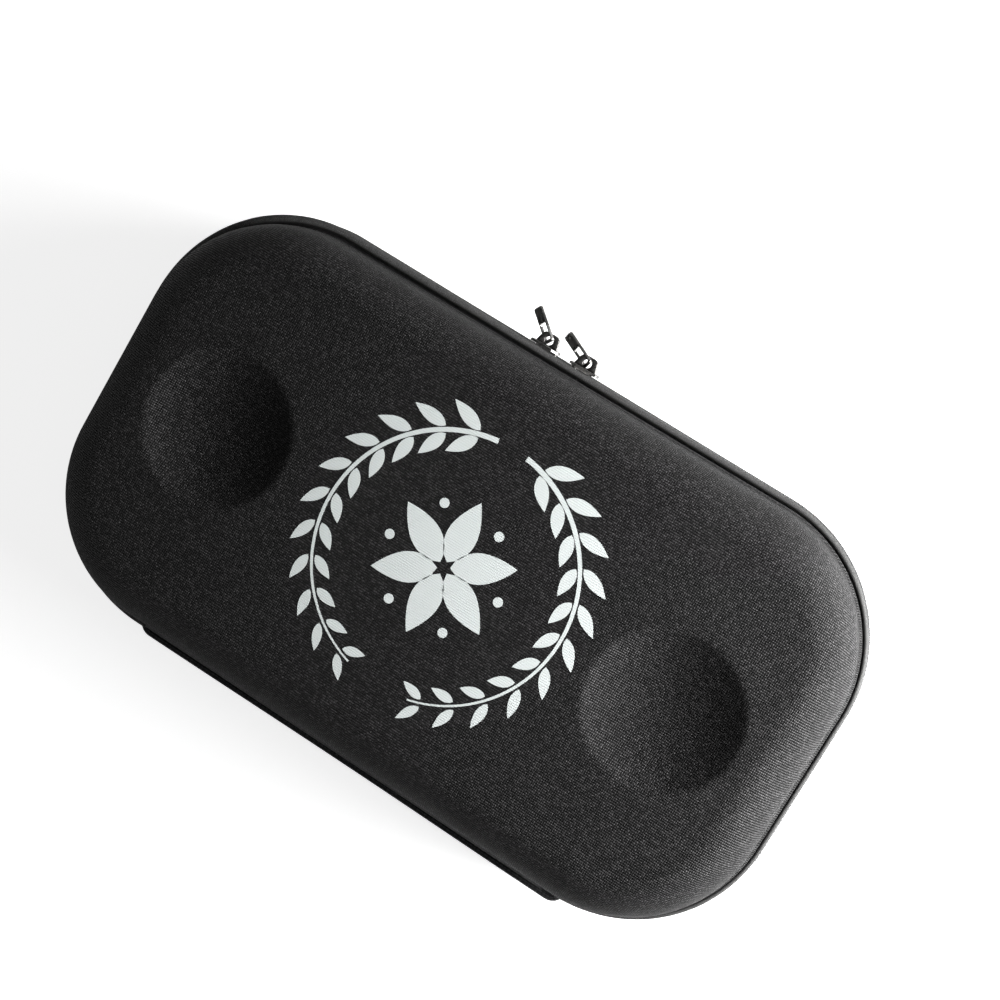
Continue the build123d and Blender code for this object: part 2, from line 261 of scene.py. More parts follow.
class Effect(ABC):
    """A shader effect that several materials share, built once as a node group."""

    name: str
    inputs: dict[str, Union[float, Place]]
    outputs: tuple[str, ...]

    def tree(self) -> bpy.types.NodeTree:
        """Finds the group's tree, and makes it on first use.

        Returns:
            The tree.
        """
        made = bpy.data.node_groups.get(self.name)
        if made is None:
            made = bpy.data.node_groups.new(self.name, "ShaderNodeTree")
            for label, start in self.inputs.items():
                kind = "NodeSocketVector" if isinstance(start, tuple) else "NodeSocketFloat"
                socket = made.interface.new_socket(name=label, in_out="INPUT", socket_type=kind)
                socket.default_value = start
            for label in self.outputs:
                made.interface.new_socket(name=label, in_out="OUTPUT", socket_type="NodeSocketFloat")
            bench = NodeBench(made)
            self.wire(bench, bench.node("NodeGroupInput"), bench.node("NodeGroupOutput"))
        return made

    @abstractmethod
    def wire(self, bench: NodeBench, entry: Node, leave: Node) -> None:
        """Builds the inside of the group.

        Args:
            bench: Where its nodes go.
            entry: The group's input node.
            leave: The group's output node.
        """


class WeaveEffect(Effect):
    """Threads crossing over and under each other: their height, their shade, and each crossing's own tone."""

    name = "weave"
    inputs = {
        "Cloth": (0.0, 0.0, 0.0),
        "Along Pitch": 0.7 * MM,
        "Across Pitch": 0.7 * MM,
        "Rib": 0.5,
        "Waver": 0.15,
    }
    outputs = ("Height", "Tone", "Shade")
    wander_scale: float = 260.0
    under: float = 0.65  # height of a crossing where the other thread is on top

    def wire(self, bench: NodeBench, entry: Node, leave: Node) -> None:
        """Builds the inside of the group.

        Args:
            bench: Where its nodes go.
            entry: The group's input node.
            leave: The group's output node.
        """
        cloth = entry.outputs["Cloth"]
        parts = bench.parts(cloth)
        wander = bench.times(bench.maths("SUBTRACT", bench.noise(cloth, self.wander_scale, 3.0), 0.5),
                             entry.outputs["Waver"])
        threads = [bench.maths("ADD", bench.maths("DIVIDE", parts[slot], entry.outputs[pitch]), wander)
                   for slot, pitch in enumerate(("Along Pitch", "Across Pitch"))]
        along, across = (bench.maths("SINE", bench.times(bench.maths("FRACT", thread), math.pi))
                         for thread in threads)
        cells = [bench.maths("FLOOR", thread) for thread in threads]
        cell = bench.node("ShaderNodeCombineXYZ", dict(enumerate(cells)))
        chance = bench.node("ShaderNodeTexWhiteNoise", {"Vector": cell.outputs[0]}, noise_dimensions="2D")
        top = bench.maths("FLOORED_MODULO", bench.maths("ADD", *cells), 2.0)
        over = bench.times(bench.maths("POWER", along, 0.6), across)
        lift = bench.maths("MULTIPLY_ADD", top, 1.0 - self.under, self.under)
        height = bench.node("ShaderNodeMix", {0: entry.outputs["Rib"], 2: bench.times(over, lift),
                                              3: bench.maths("POWER", across, 0.7)}, data_type="FLOAT")
        bench.fill(leave, {"Height": height.outputs[0], "Tone": chance.outputs["Value"],
                           "Shade": bench.spread(height.outputs[0], 0.05, 0.85)})


class FibreEffect(Effect):
    """Loose fibre ends: small pale flecks and a fuzz of fine height."""

    name = "fibre"
    inputs = {
        "Place": (0.0, 0.0, 0.0),
        "Amount": 0.5,
    }
    outputs = ("Fleck", "Fuzz", "Patch")
    fuzz_scale: float = 2600.0
    fleck_scale: float = 1150.0
    patch_scale: float = 38.0

    def wire(self, bench: NodeBench, entry: Node, leave: Node) -> None:
        """Builds the inside of the group.

        Args:
            bench: Where its nodes go.
            entry: The group's input node.
            leave: The group's output node.
        """
        place = entry.outputs["Place"]
        fleck = bench.spread(bench.noise(place, self.fleck_scale, 1.0), 0.72, 0.80)
        patch = bench.noise(place, self.patch_scale, 4.0, 0.6)
        bench.fill(leave, {"Fleck": bench.times(fleck, entry.outputs["Amount"]),
                           "Fuzz": bench.noise(place, self.fuzz_scale, 2.0, 0.7),
                           "Patch": bench.spread(patch, 0.3, 0.7)})


class WearEffect(Effect):
    """Rubbed edges and a little dust where things settle."""

    name = "edge wear and dust"
    inputs = {
        "Place": (0.0, 0.0, 0.0),
        "Edge Low": 0.52,
        "Edge High": 0.62,
        "Dust Scale": 90.0,
    }
    outputs = ("Edge", "Dust", "Smudge")
    rub_scale: float = 900.0
    smudge_scale: float = 210.0

    def wire(self, bench: NodeBench, entry: Node, leave: Node) -> None:
        """Builds the inside of the group.

        Args:
            bench: Where its nodes go.
            entry: The group's input node.
            leave: The group's output node.
        """
        place = entry.outputs["Place"]
        shape = bench.node("ShaderNodeNewGeometry").outputs
        edge = bench.spread(shape["Pointiness"], entry.outputs["Edge Low"], entry.outputs["Edge High"])
        broken = bench.spread(bench.noise(place, self.rub_scale, 3.0, 0.6), 0.35, 0.65, 0.35, 1.0)
        upward = bench.spread(bench.parts(shape["Normal"])[2], 0.2, 0.95)
        cloud = bench.noise(place, entry.outputs["Dust Scale"], 5.0)
        smudge = bench.noise(place, self.smudge_scale, 3.0)
        bench.fill(leave, {"Edge": bench.times(edge, broken),
                           "Dust": bench.times(upward, bench.spread(cloud, 0.4, 0.75)),
                           "Smudge": bench.spread(smudge, 0.3, 0.7)})


WEAVE = WeaveEffect()
FIBRE = FibreEffect()
WEAR = WearEffect()


# --- finishes
class Finish(ABC):
    """A surface finish that becomes one material."""

    name: str

    def material(self) -> bpy.types.Material:
        """Finds the finish's material, and makes it on first use.

        Returns:
            The material.
        """
        made = bpy.data.materials.get(self.name)
        if made is None:
            made = bpy.data.materials.new(self.name)
            made.use_nodes = True
            bench = NodeBench(made.node_tree)
            shader = bench.node("ShaderNodeBsdfPrincipled")
            self.wire(bench, shader)
            bench.node("ShaderNodeOutputMaterial", {"Surface": shader.outputs[0]})
        return made

    @abstractmethod
    def wire(self, bench: NodeBench, shader: Node) -> None:
        """Feeds the finish into its shader.

        Args:
            bench: Where the nodes go.
            shader: The material's Principled BSDF.
        """


@dataclass(frozen=True)
class WovenFinish(Finish):
    """Cloth woven or knitted from threads, read through the piece's own cloth coordinates.

    The threads' tops are in the thread colour and the gaps between them in the darker gap colour, a
    painted shade between the threads. Each crossing has its own tone, and the tops of the brightest are
    painted paler as painted glints: the glint lift is how much brighter the brightest is, rarity how few
    are. The pale colour given last is a painted highlight, laid where the cloth coordinates' third number
    asks for it: on the moulding's rim bead, and on the outer side of the zip tape's roll, which leaves
    the groove behind the roll dark as painted shade.
    """

    name: str
    thread: Colour
    gap: Colour
    fleck: Colour = (0.16, 0.16, 0.165)
    along_pitch: float = 0.62 * MM
    across_pitch: float = 0.78 * MM
    rib: float = 0.45
    depth: float = 0.16 * MM
    fuzz: float = 0.06 * MM
    fleck_amount: float = 0.5
    roughness: float = 0.62
    sheen: float = 0.0
    sheen_roughness: float = 0.45
    specular: float = 0.5
    dust: float = 0.02
    waver: float = 0.35
    # These two set the painted glints: some thread tops painted paler in colour, as if they caught the light.
    tone: float = 0.35
    painted_glint_lift: float = 3.0
    rarity: float = 2.5
    gap_roughness: float = 0.12
    smoother: float = 0.06
    patchy: float = 0.12
    fuzzy: float = 0.3
    wear: float = 0.4
    # A pale colour laid where the cloth coordinates' third number says: a painted highlight.
    painted_highlight: Optional[Colour] = None

    def wire(self, bench: NodeBench, shader: Node) -> None:
        """Feeds the finish into its shader.

        Args:
            bench: Where the nodes go.
            shader: The material's Principled BSDF.
        """
        cloth = bench.cloth()
        weave = bench.group(WEAVE, Cloth=cloth, Along_Pitch=self.along_pitch,
                            Across_Pitch=self.across_pitch, Rib=self.rib, Waver=self.waver)
        fibre = bench.group(FIBRE, Place=cloth, Amount=self.fleck_amount)
        wear = bench.group(WEAR, Place=cloth)
        # Painted shade between the threads: the gaps are darker than the tops.
        colour = bench.blend(weave["Shade"], self.gap, self.thread)
        # lit is the colour of the painted glints, thread tops painted paler as if they caught the light; worn
        # is the paler colour of fuzz and patches.
        worn, lit = (tuple(min(1.0, part * lift + LEAST_LIFT) for part in self.thread)
                     for lift in (WORN_LIFT, self.painted_glint_lift))
        painted_glint = bench.times(bench.maths("POWER", weave["Tone"], self.rarity), weave["Shade"])
        colour = bench.blend(bench.times(painted_glint, self.tone), colour, lit)
        for mask, share in (("Patch", self.patchy), ("Fuzz", self.fuzzy)):
            colour = bench.blend(bench.times(fibre[mask], share), colour, worn)
        # Painted highlight: the cloth coordinates' third number paints the cloth paler there; on the zip roll
        # this leaves the groove dark as painted shade.
        if self.painted_highlight:
            painted_lit_share = bench.maths("MULTIPLY", bench.parts(cloth)[2], 1.0 / MM, clamp=True)
            nap = bench.times(weave["Shade"], bench.spread(fibre["Fuzz"], 0.35, 0.65, 0.35, 1.0))
            colour = bench.blend(painted_lit_share, colour, bench.blend(nap, worn, self.painted_highlight))
        colour = bench.blend(fibre["Fleck"], colour, self.fleck)
        colour = bench.blend(bench.times(wear["Edge"], self.wear), colour, self.fleck)
        colour = bench.blend(bench.times(wear["Dust"], self.dust), colour, DUST_COLOUR)
        smooth = bench.spread(fibre["Patch"], 0.0, 1.0, self.roughness, self.roughness - self.smoother)
        dull = bench.spread(weave["Shade"], 0.0, 1.0, self.gap_roughness, 0.0)
        bench.fill(shader, {"Base Color": colour, "Roughness": bench.maths("ADD", smooth, dull)})
        rise = bench.times(weave["Height"], self.depth)
        bench.emboss(shader, bench.maths("MULTIPLY_ADD", fibre["Fuzz"], self.fuzz, rise))
        bench.fill(shader, {"Sheen Weight": self.sheen, "Sheen Roughness": self.sheen_roughness,
                            "Specular IOR Level": self.specular})


@dataclass(frozen=True)
class NetFinish(Finish):
    """Knitted net: round holes between fine threads."""

    name: str
    thread: Colour
    pitch: float = 2.4 * MM
    strand: float = 0.42
    unevenness: float = 0.12
    depth: float = 0.2 * MM
    lift: float = 2.2

    def wire(self, bench: NodeBench, shader: Node) -> None:
        """Feeds the finish into its shader.

        Args:
            bench: Where the nodes go.
            shader: The material's Principled BSDF.
        """
        cloth = bench.cloth()
        fuzz = bench.group(FIBRE, Place=cloth, Amount=0.3)["Fuzz"]
        feeds = {"Vector": cloth, "Scale": 1.0 / self.pitch, "Randomness": self.unevenness}
        cells = bench.node("ShaderNodeTexVoronoi", feeds, feature="DISTANCE_TO_EDGE")
        hole = bench.spread(cells.outputs["Distance"], self.strand * 0.30, self.strand * 0.42)
        lit = tuple(part * self.lift for part in self.thread)
        bench.fill(shader, {"Alpha": bench.maths("SUBTRACT", 1.0, hole),
                            "Base Color": bench.blend(fuzz, self.thread, lit),
                            "Roughness": bench.spread(fuzz, 0.0, 1.0, 0.7, 0.9)})
        bench.emboss(shader, bench.times(hole, -self.depth))


@dataclass(frozen=True)
class CastFinish(Finish):
    """Plated die casting: polished faces, brighter edges that are partly rubbed plating and partly a painted
    highlight, fine marks from handling.
    """

    name: str
    face: Colour
    edge: Colour
    roughness: float = 0.14
    smudge: float = 0.12
    marks: float = 0.015 * MM

    def wire(self, bench: NodeBench, shader: Node) -> None:
        """Feeds the finish into its shader.

        Args:
            bench: Where the nodes go.
            shader: The material's Principled BSDF.
        """
        place = bench.node("ShaderNodeTexCoord").outputs["Object"]
        wear = bench.group(WEAR, Place=place, Edge_Low=0.505, Edge_High=0.60)
        fibre = bench.group(FIBRE, Place=place, Amount=0.0)
        # The paler edge colour is partly rubbed plating, partly a painted highlight along the edges.
        bench.fill(shader, {"Base Color": bench.blend(wear["Edge"], self.face, self.edge),
                            "Roughness": bench.spread(wear["Smudge"], 0.0, 1.0, self.roughness,
                                                      self.roughness + self.smudge)})
        bench.emboss(shader, bench.times(fibre["Patch"], self.marks))
        bench.fill(shader, {"Metallic": 1.0})


@dataclass(frozen=True)
class NylonFinish(Finish):
    """Extruded or printed nylon, satin, with a fine grain, and where it is thin the weave under it."""

    name: str
    colour: Colour
    shade: Colour
    roughness: float = 0.42
    grain: float = 0.02 * MM
    weave_depth: float = 0.0
    weave_pitch: Pair = (0.62 * MM, 0.78 * MM)
    duller: float = 0.1

    def wire(self, bench: NodeBench, shader: Node) -> None:
        """Feeds the finish into its shader.

        Args:
            bench: Where the nodes go.
            shader: The material's Principled BSDF.
        """
        cloth = bench.cloth()
        fibre = bench.group(FIBRE, Place=cloth, Amount=0.2)
        weave = bench.group(WEAVE, Cloth=cloth, Along_Pitch=self.weave_pitch[0],
                            Across_Pitch=self.weave_pitch[1], Rib=0.45, Waver=0.35)
        dip = bench.times(bench.maths("SUBTRACT", 1.0, weave["Shade"]), 0.5 if self.weave_depth else 0.0)
        colour = bench.blend(bench.times(fibre["Fuzz"], 0.6), self.colour, self.shade)
        bench.fill(shader, {"Base Color": bench.blend(dip, colour, self.shade),
                            "Roughness": bench.spread(fibre["Patch"], 0.0, 1.0, self.roughness,
                                                      self.roughness + self.duller)})
        rise = bench.times(weave["Height"], self.weave_depth)
        bench.emboss(shader, bench.maths("MULTIPLY_ADD", fibre["Fuzz"], self.grain, rise))


# Some crossings' tops are painted far paler as painted glints, and the last colour paints the rim bead paler
# as a painted highlight.
SHELL_CLOTH = WovenFinish("shell cloth", (0.0052, 0.0050, 0.0051), (0.0004, 0.0004, 0.0004),
                          fleck=(0.12, 0.12, 0.122), along_pitch=0.72 * MM, across_pitch=0.82 * MM,
                          depth=0.30 * MM, roughness=0.42, specular=0.25, dust=0.003, tone=1.0,
                          painted_glint_lift=9.5, rarity=2.4, gap_roughness=0.55, wear=0.0,
                          painted_highlight=(0.020, 0.020, 0.0202))
LINING_CLOTH = WovenFinish("brushed lining", (0.030, 0.030, 0.032), (0.012, 0.012, 0.013),
                           along_pitch=0.5 * MM, across_pitch=0.5 * MM, rib=0.1, depth=0.05 * MM,
                           fuzz=0.12 * MM, fleck_amount=0.35, sheen=0.5, wear=0.0)
BINDING_CLOTH = WovenFinish("binding tape", (0.022, 0.022, 0.024), (0.006, 0.006, 0.006),
                            along_pitch=0.45 * MM, across_pitch=0.9 * MM, rib=0.6, fleck_amount=0.2)
# The last, pale colour paints the outer side of the zip roll as if lit, a painted highlight; the groove
# behind it keeps the tape's dark colour as painted shade.
ZIP_TAPE_CLOTH = WovenFinish("zip tape", (0.012, 0.012, 0.012), (0.003, 0.003, 0.003),
                             along_pitch=0.4 * MM, across_pitch=0.4 * MM, rib=0.2, depth=0.05 * MM,
                             fuzz=0.07 * MM, fleck=(0.16, 0.16, 0.16), fleck_amount=0.3, specular=0.2,
                             wear=0.0, painted_highlight=(0.145, 0.144, 0.142))
HINGE_CLOTH = WovenFinish("hinge cloth", (0.024, 0.024, 0.026), (0.006, 0.006, 0.006),
                          along_pitch=0.5 * MM, across_pitch=0.5 * MM, rib=0.3)
WEBBING = WovenFinish("ribbed webbing", (0.036, 0.036, 0.038), (0.003, 0.003, 0.003), along_pitch=1.6 * MM,
                      across_pitch=1.2 * MM, rib=0.1, depth=0.45 * MM, fuzz=0.05 * MM, fleck_amount=0.2,
                      specular=0.3, wear=0.2)
ELASTIC = WovenFinish("ribbed elastic", (0.020, 0.020, 0.021), (0.004, 0.004, 0.004),
                      along_pitch=1.0 * MM, across_pitch=1.4 * MM, rib=0.85, depth=0.4 * MM,
                      fleck_amount=0.25)
THREAD = NylonFinish("sewing thread", (0.034, 0.034, 0.036), (0.012, 0.012, 0.013), 0.55)
COIL_NYLON = NylonFinish("coil nylon", (0.016, 0.016, 0.017), (0.006, 0.006, 0.006), 0.35)
PRINT_INK = NylonFinish("screen print", (0.70, 0.745, 0.735), (0.54, 0.58, 0.572), 0.6, 0.05 * MM,
                        0.10 * MM)
NET = NetFinish("pocket net", (0.016, 0.016, 0.017))
# Their pale edge colours are partly rubbed plating, partly painted highlights along the edges.
BLACK_NICKEL = CastFinish("black nickel", (0.10, 0.098, 0.095), (0.60, 0.58, 0.56), 0.17)
PULL_NICKEL = CastFinish("pull nickel", (0.26, 0.255, 0.25), (0.78, 0.76, 0.73), 0.20)


# --- mesh making
class Piece:
    """A mesh under construction, with the place of each point on its flat cloth."""

    def __init__(self, name: str) -> None:
        """Starts an empty piece.

        Args:
            name: Name of the object that it becomes.
        """
        self.name = name
        self.points: list[Place] = []
        self.cloth: list[Place] = []
        self.faces: list[tuple[int, ...]] = []

    def point(self, at: Sequence[float], cloth: Sequence[float] = (0.0, 0.0)) -> int:
        """Adds a point.

        Args:
            at: Its place.
            cloth: Its place on the flat cloth, and there how far it takes the painted highlight, from 0 to a
                millimetre.

        Returns:
            Its number.
        """
        self.points.append((float(at[0]), float(at[1]), float(at[2])))
        self.cloth.append((float(cloth[0]), float(cloth[1]), float(cloth[2]) if len(cloth) > 2 else 0.0))
        return len(self.points) - 1

    def face(self, *corners: int) -> None:
        """Adds a face, leaving out corners that fall together.

        Args:
            corners: Numbers of its points in order.
        """
        kept = [c for place, c in enumerate(corners) if c != corners[place - 1]]
        if len(set(kept)) > 2:
            self.faces.append(tuple(kept))

    def ring(self, points: Sequence[Sequence[float]], cloth: Sequence[Sequence[float]]) -> list[int]:
        """Adds a row of points.

        Args:
            points: Their places.
            cloth: Their places on the flat cloth.

        Returns:
            Their numbers.
        """
        return [self.point(at, flat) for at, flat in zip(points, cloth)]

    def band(self, first: Sequence[int], second: Sequence[int], closed: bool = True) -> None:
        """Joins two rows with quads.

        Args:
            first: One row.
            second: The next row, as long.
            closed: Whether the rows are loops.
        """
        count = len(first)
        for here in range(count if closed else count - 1):
            there = (here + 1) % count
            self.face(first[here], first[there], second[there], second[here])

    def loft(self, loops: Sequence[Sequence[int]], capped: bool = True) -> None:
        """Joins loops one after another.

        Args:
            loops: The loops, all as long.
            capped: Whether the first and the last are closed.
        """
        for first, second in zip(loops, loops[1:]):
            self.band(first, second)
        if capped:
            self.cap(loops[0])
            self.cap(loops[-1])

    def plate(self, outer: Sequence[Sequence[int]], inner: Sequence[Sequence[int]]) -> None:
        """Joins loops round a plate and round its hole into one closed body.

        Args:
            outer: The plate's loops, from face to face.
            inner: The hole's loops, as many and as long.
        """
        for loops in (outer, inner):
            self.loft(loops, capped=False)
        for end in (0, -1):
            self.band(outer[end], inner[end])

    def cap(self, loop: Sequence[int]) -> None:
        """Closes a loop with a fan round its middle.

        Args:
            loop: The loop's points.
        """
        places = np.array([self.points[number] for number in loop])
        flat = np.array([self.cloth[number] for number in loop])
        middle = self.point(places.mean(0), flat.mean(0))
        for here, number in enumerate(loop):
            self.face(number, loop[(here + 1) % len(loop)], middle)

    def make(self, finish: Finish, rides: Optional[str], sharp_angle: float = 50.0) -> bpy.types.Object:
        """Makes the object.

        Args:
            finish: Its surface.
            rides: The body that it moves with, or None where the caller sees to that.
            sharp_angle: Edges that bend by more degrees than this stay sharp.

        Returns:
            The new object.
        """
        mesh = bpy.data.meshes.new(self.name)
        mesh.from_pydata(self.points, [], self.faces)
        flat = mesh.attributes.new("cloth", "FLOAT_VECTOR", "POINT")
        flat.data.foreach_set("vector", np.array(self.cloth, np.float32).ravel())
        shape = bmesh.new()
        shape.from_mesh(mesh)
        bmesh.ops.recalc_face_normals(shape, faces=shape.faces)
        shape.to_mesh(mesh)
        shape.free()
        mesh.materials.append(finish.material())
        mesh.shade_smooth()
        mesh.set_sharp_from_angle(angle=math.radians(sharp_angle))
        made = bpy.data.objects.new(self.name, mesh)
        bpy.context.scene.collection.objects.link(made)
        if rides:
            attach(made, rides)
        LOG.info("%s: %d points, %d faces", self.name, len(mesh.vertices), len(mesh.polygons))
        return made


@dataclass(frozen=True)
class Stop:
    """One place along a line on the wall: where, which way is out, and how far along."""

    at: Vector
    out: Vector
    run: float


@dataclass(frozen=True)
class CaseLine:
    """Plan of the case: straight walls joined by round corners."""

    length: float = 273 * MM
    width: float = 150 * MM
    corner: float = 49 * MM
    closing: float = 30 * MM

    @property
    def core(self) -> Pair:
        """Half sizes of the rectangle through the corners' centres."""
        return self.length / 2 - self.corner, self.width / 2 - self.corner

    def _runs(self, start_x: float) -> list[tuple[Vector, Vector, float, float]]:
        """The line in straight and round runs, clockwise from the back wall.

        Args:
            start_x: Where on the back wall it starts.

        Returns:
            For each run its start or centre, its end, and its angles, which are alike on a straight.
        """
        core_x, core_y = self.core
        half_x, half_y = self.length / 2, self.width / 2
        quarter = math.pi / 2
        walls = (((start_x, half_y), (core_x, half_y)), ((half_x, core_y), (half_x, -core_y)),
                 ((core_x, -half_y), (-core_x, -half_y)), ((-half_x, -core_y), (-half_x, core_y)),
                 ((-core_x, half_y), (-start_x, half_y)))
        corners = ((core_x, core_y), (core_x, -core_y), (-core_x, -core_y), (-core_x, core_y))
        runs = []
        for number, (start, end) in enumerate(walls):
            angle = quarter * (1 - number)
            runs.append((Vector(start), Vector(end), angle, angle))
            runs += [(Vector(corner), Vector(corner), angle, angle - quarter)
                     for corner in corners[number:number + 1]]
        return runs

    def stops(self, start_x: float, step: float) -> list[Stop]:
        """Places along the wall from the back, round the front, to the back again.

        Args:
            start_x: Where on the back wall the line starts and, mirrored, ends.
            step: Distance between places.

        Returns:
            The places in order.
        """
        found: list[Stop] = []
        run = 0.0
        for start, end, angle_from, angle_to in self._runs(start_x):
            bends = abs(angle_to - angle_from) > 1e-9
            length = self.corner * abs(angle_to - angle_from) if bends else (end - start).length
            count = max(1, round(length / step))
            for part in range(count):
                share = part / count
                angle = angle_from + (angle_to - angle_from) * share
                out = polar(angle)
                at = start + out * self.corner if bends else start.lerp(end, share)
                found.append(Stop(at, out, run + length * share))
            run += length
        if start_x > 1e-6:
            found.append(Stop(Vector((-start_x, self.width / 2)), Vector((0.0, 1.0)), run))
        return found


CASE = CaseLine()


def turns(count: int) -> list[float]:
    """Angles at even steps round a circle."""
    return [2 * math.pi * step / count for step in range(count)]


def polar(angle: float, radius: float = 1.0) -> Vector:
    """Point of the plane at a distance in a direction."""
    return Vector((math.cos(angle), math.sin(angle))) * radius


def arc(centre: Sequence[float], radius: float, start: float, turn: float, count: int) -> Outline:
    """Points on a circle.

    Args:
        centre: Its centre.
        radius: Its radius.
        start: Angle of the first point, in degrees.
        turn: How far the arc goes, in degrees.
        count: Number of points.

    Returns:
        The points in order.
    """
    angles = [math.radians(start + turn * part / (count - 1)) for part in range(count)]
    return [(centre[0] + radius * math.cos(a), centre[1] + radius * math.sin(a)) for a in angles]


def rounded_box(middle: Sequence[float], half_x: float, half_y: float, bend: float, count: int) -> Outline:
    """Outline of a rectangle with round corners.

    Args:
        middle: Its middle.
        half_x: Half its first side.
        half_y: Half its second side.
        bend: Radius of its corners.
        count: Points at each corner.

    Returns:
        The outline's points.
    """
    outline = []
    for corner_x, corner_y, start in ((1, 1, 0.0), (-1, 1, 90.0), (-1, -1, 180.0), (1, -1, 270.0)):
        centre = (middle[0] + corner_x * (half_x - bend), middle[1] + corner_y * (half_y - bend))
        outline += arc(centre, bend, start, 90.0, count)
    return outline


def rounded_levels(half: float, bevel: float) -> Outline:
    """Levels through a plate with rounded edges.

    Args:
        half: Half its thickness.
        bevel: Rounding of its edges.

    Returns:
        For each level its height from the middle, and how far it is drawn in.
    """
    lower = [(bevel * math.sin(a) + bevel - half, bevel * (1 - math.cos(a)))
             for a in (-math.pi / 2, -1.1, -0.7, -0.3, 0.0)]
    return lower + [(-level, shrink) for level, shrink in lower[::-1]]


def along_line(points: np.ndarray) -> tuple[np.ndarray, np.ndarray]:
    """Measures a line.

    Args:
        points: The line's points.

    Returns:
        Its direction at each of them, and how far along it they lie.
    """
    ways = np.gradient(points, axis=0)
    steps = np.linalg.norm(np.diff(points, axis=0), axis=1)
    return ways / np.linalg.norm(ways, axis=1)[:, None], np.concatenate([[0.0], np.cumsum(steps)])


def thicken(line: Sequence[Sequence[float]], thickness: float) -> Outline:
    """Gives a line a thickness, with round ends.

    Args:
        line: The middle line's points.
        thickness: How thick it becomes.

    Returns:
        A closed outline.
    """
    points = np.array(line, float)
    along, _ = along_line(points)
    side = np.stack([-along[:, 1], along[:, 0]], 1) * thickness / 2
    ends = []
    for point, way in ((points[-1], along[-1]), (points[0], -along[0])):
        across = np.array([-way[1], way[0]])
        ends.append([point + (across * math.cos(a) + way * math.sin(a)) * thickness / 2
                     for a in (math.pi / 6, math.pi / 2, 5 * math.pi / 6)])
    outline = list(points + side) + ends[0] + list((points - side)[::-1]) + ends[1]
    return [(float(p[0]), float(p[1])) for p in outline]


def around(outline: Sequence[Sequence[float]]) -> list[float]:
    """Distance round a closed outline to each of its points.

    Args:
        outline: The outline's points.

    Returns:
        A distance for each point.
    """
    points = np.array(outline, float)
    steps = np.linalg.norm(np.roll(points, -1, axis=0) - points, axis=1)
    return [0.0, *np.cumsum(steps)[:-1].tolist()]


def swept(piece: Piece, stops: Sequence[Stop], closed: bool,
          section: Callable[[Stop], Sequence[Pair]],
          painted_highlight: Optional[Callable[[float], float]] = None) -> None:
    """Sweeps a section along the wall.

    Args:
        piece: The piece that it is added to.
        stops: Places along the wall.
        closed: Whether the line comes back to its start.
        section: For a place, the closed outline across the wall: outwards, and up from the closing plane.
        painted_highlight: How far the cloth takes the painted highlight at a distance out from the wall, from
            0 to 1.
    """
    rings = []
    for stop in stops:
        outline = section(stop)
        distance = around(outline)
        places = [(*(stop.at + stop.out * out), CASE.closing + up) for out, up in outline]
        # How far each point takes the painted highlight.
        painted_lit = [painted_highlight(out) * MM if painted_highlight else 0.0 for out, _ in outline]
        rings.append(piece.ring(places, [(stop.run, d, r) for d, r in zip(distance, painted_lit)]))
    piece.loft(rings, capped=not closed)
    if closed:
        piece.band(rings[-1], rings[0])


@dataclass(frozen=True)
class Stitch:
    """Sizes of a sewing stitch, its gap and its thread.

    The form gives at shares of its length how far the thread is lifted and how thick it is, both in
    shares of the thread.
    """

    length: float
    gap: float
    thread: float
    form: tuple[tuple[float, float, float], ...] = (
        (0.0, -0.5, 0.4), (0.15, 0.15, 0.9), (0.5, 0.35, 1.0), (0.85, 0.15, 0.9), (1.0, -0.5, 0.4))


def stitch_line(piece: Piece, places: Sequence[Vector], normals: Sequence[Vector], stitch: Stitch) -> None:
    """Lays short sewing stitches along a line.

    Args:
        piece: The piece that they are added to.
        places: The line's points, close together.
        normals: Which way is up from the cloth at each point.
        stitch: Their sizes.
    """
    points = np.array([tuple(p) for p in places], float)
    ups = np.array([tuple(n) for n in normals], float)
    _, distance = along_line(points)
    nudge = 0.1 * MM

    def read(values: np.ndarray, where: float) -> Vector:
        """A value at a place along the line."""
        return Vector([np.interp(where, distance, values[:, k]) for k in range(3)])

    start = stitch.gap / 2
    while start + stitch.length < distance[-1]:
        rows = []
        for share, lift, girth in stitch.form:
            where = start + stitch.length * share
            up = read(ups, where).normalized()
            side = (read(points, where + nudge) - read(points, where - nudge)).normalized().cross(up)
            centre = read(points, where) + up * stitch.thread * lift
            loop = [centre + (side * math.cos(a) + up * math.sin(a)) * stitch.thread / 2 * girth
                    for a in turns(6)]
            rows.append(piece.ring(loop, [(where, k * stitch.thread / 2) for k in range(6)]))
        piece.loft(rows)
        start += stitch.length + stitch.gap


def sew_box(piece: Piece, first: Sequence[float], last: Sequence[float],
            place: Callable[[float, float], Sequence[float]], up: Vector, stitch: Stitch) -> None:
    """Sews a box with a cross through it.

    Args:
        piece: The piece that the stitches are added to.
        first: One corner of the box.
        last: The corner across from it.
        place: Gives a point of the box its place.
        up: Which way is up from the cloth.
        stitch: Sizes of the stitches.
    """
    (x_0, y_0), (x_1, y_1), parts = first, last, 8
    corners = [(x_0, y_0), (x_1, y_0), (x_1, y_1), (x_0, y_1), (x_0, y_0)]
    for line in (corners, [corners[0], corners[2]], [corners[1], corners[3]]):
        for start, end in zip(line, line[1:]):
            spots = [Vector(start).lerp(Vector(end), k / parts) for k in range(parts + 1)]
            stitch_line(piece, [Vector(place(*spot)) for spot in spots], [up] * len(spots), stitch)


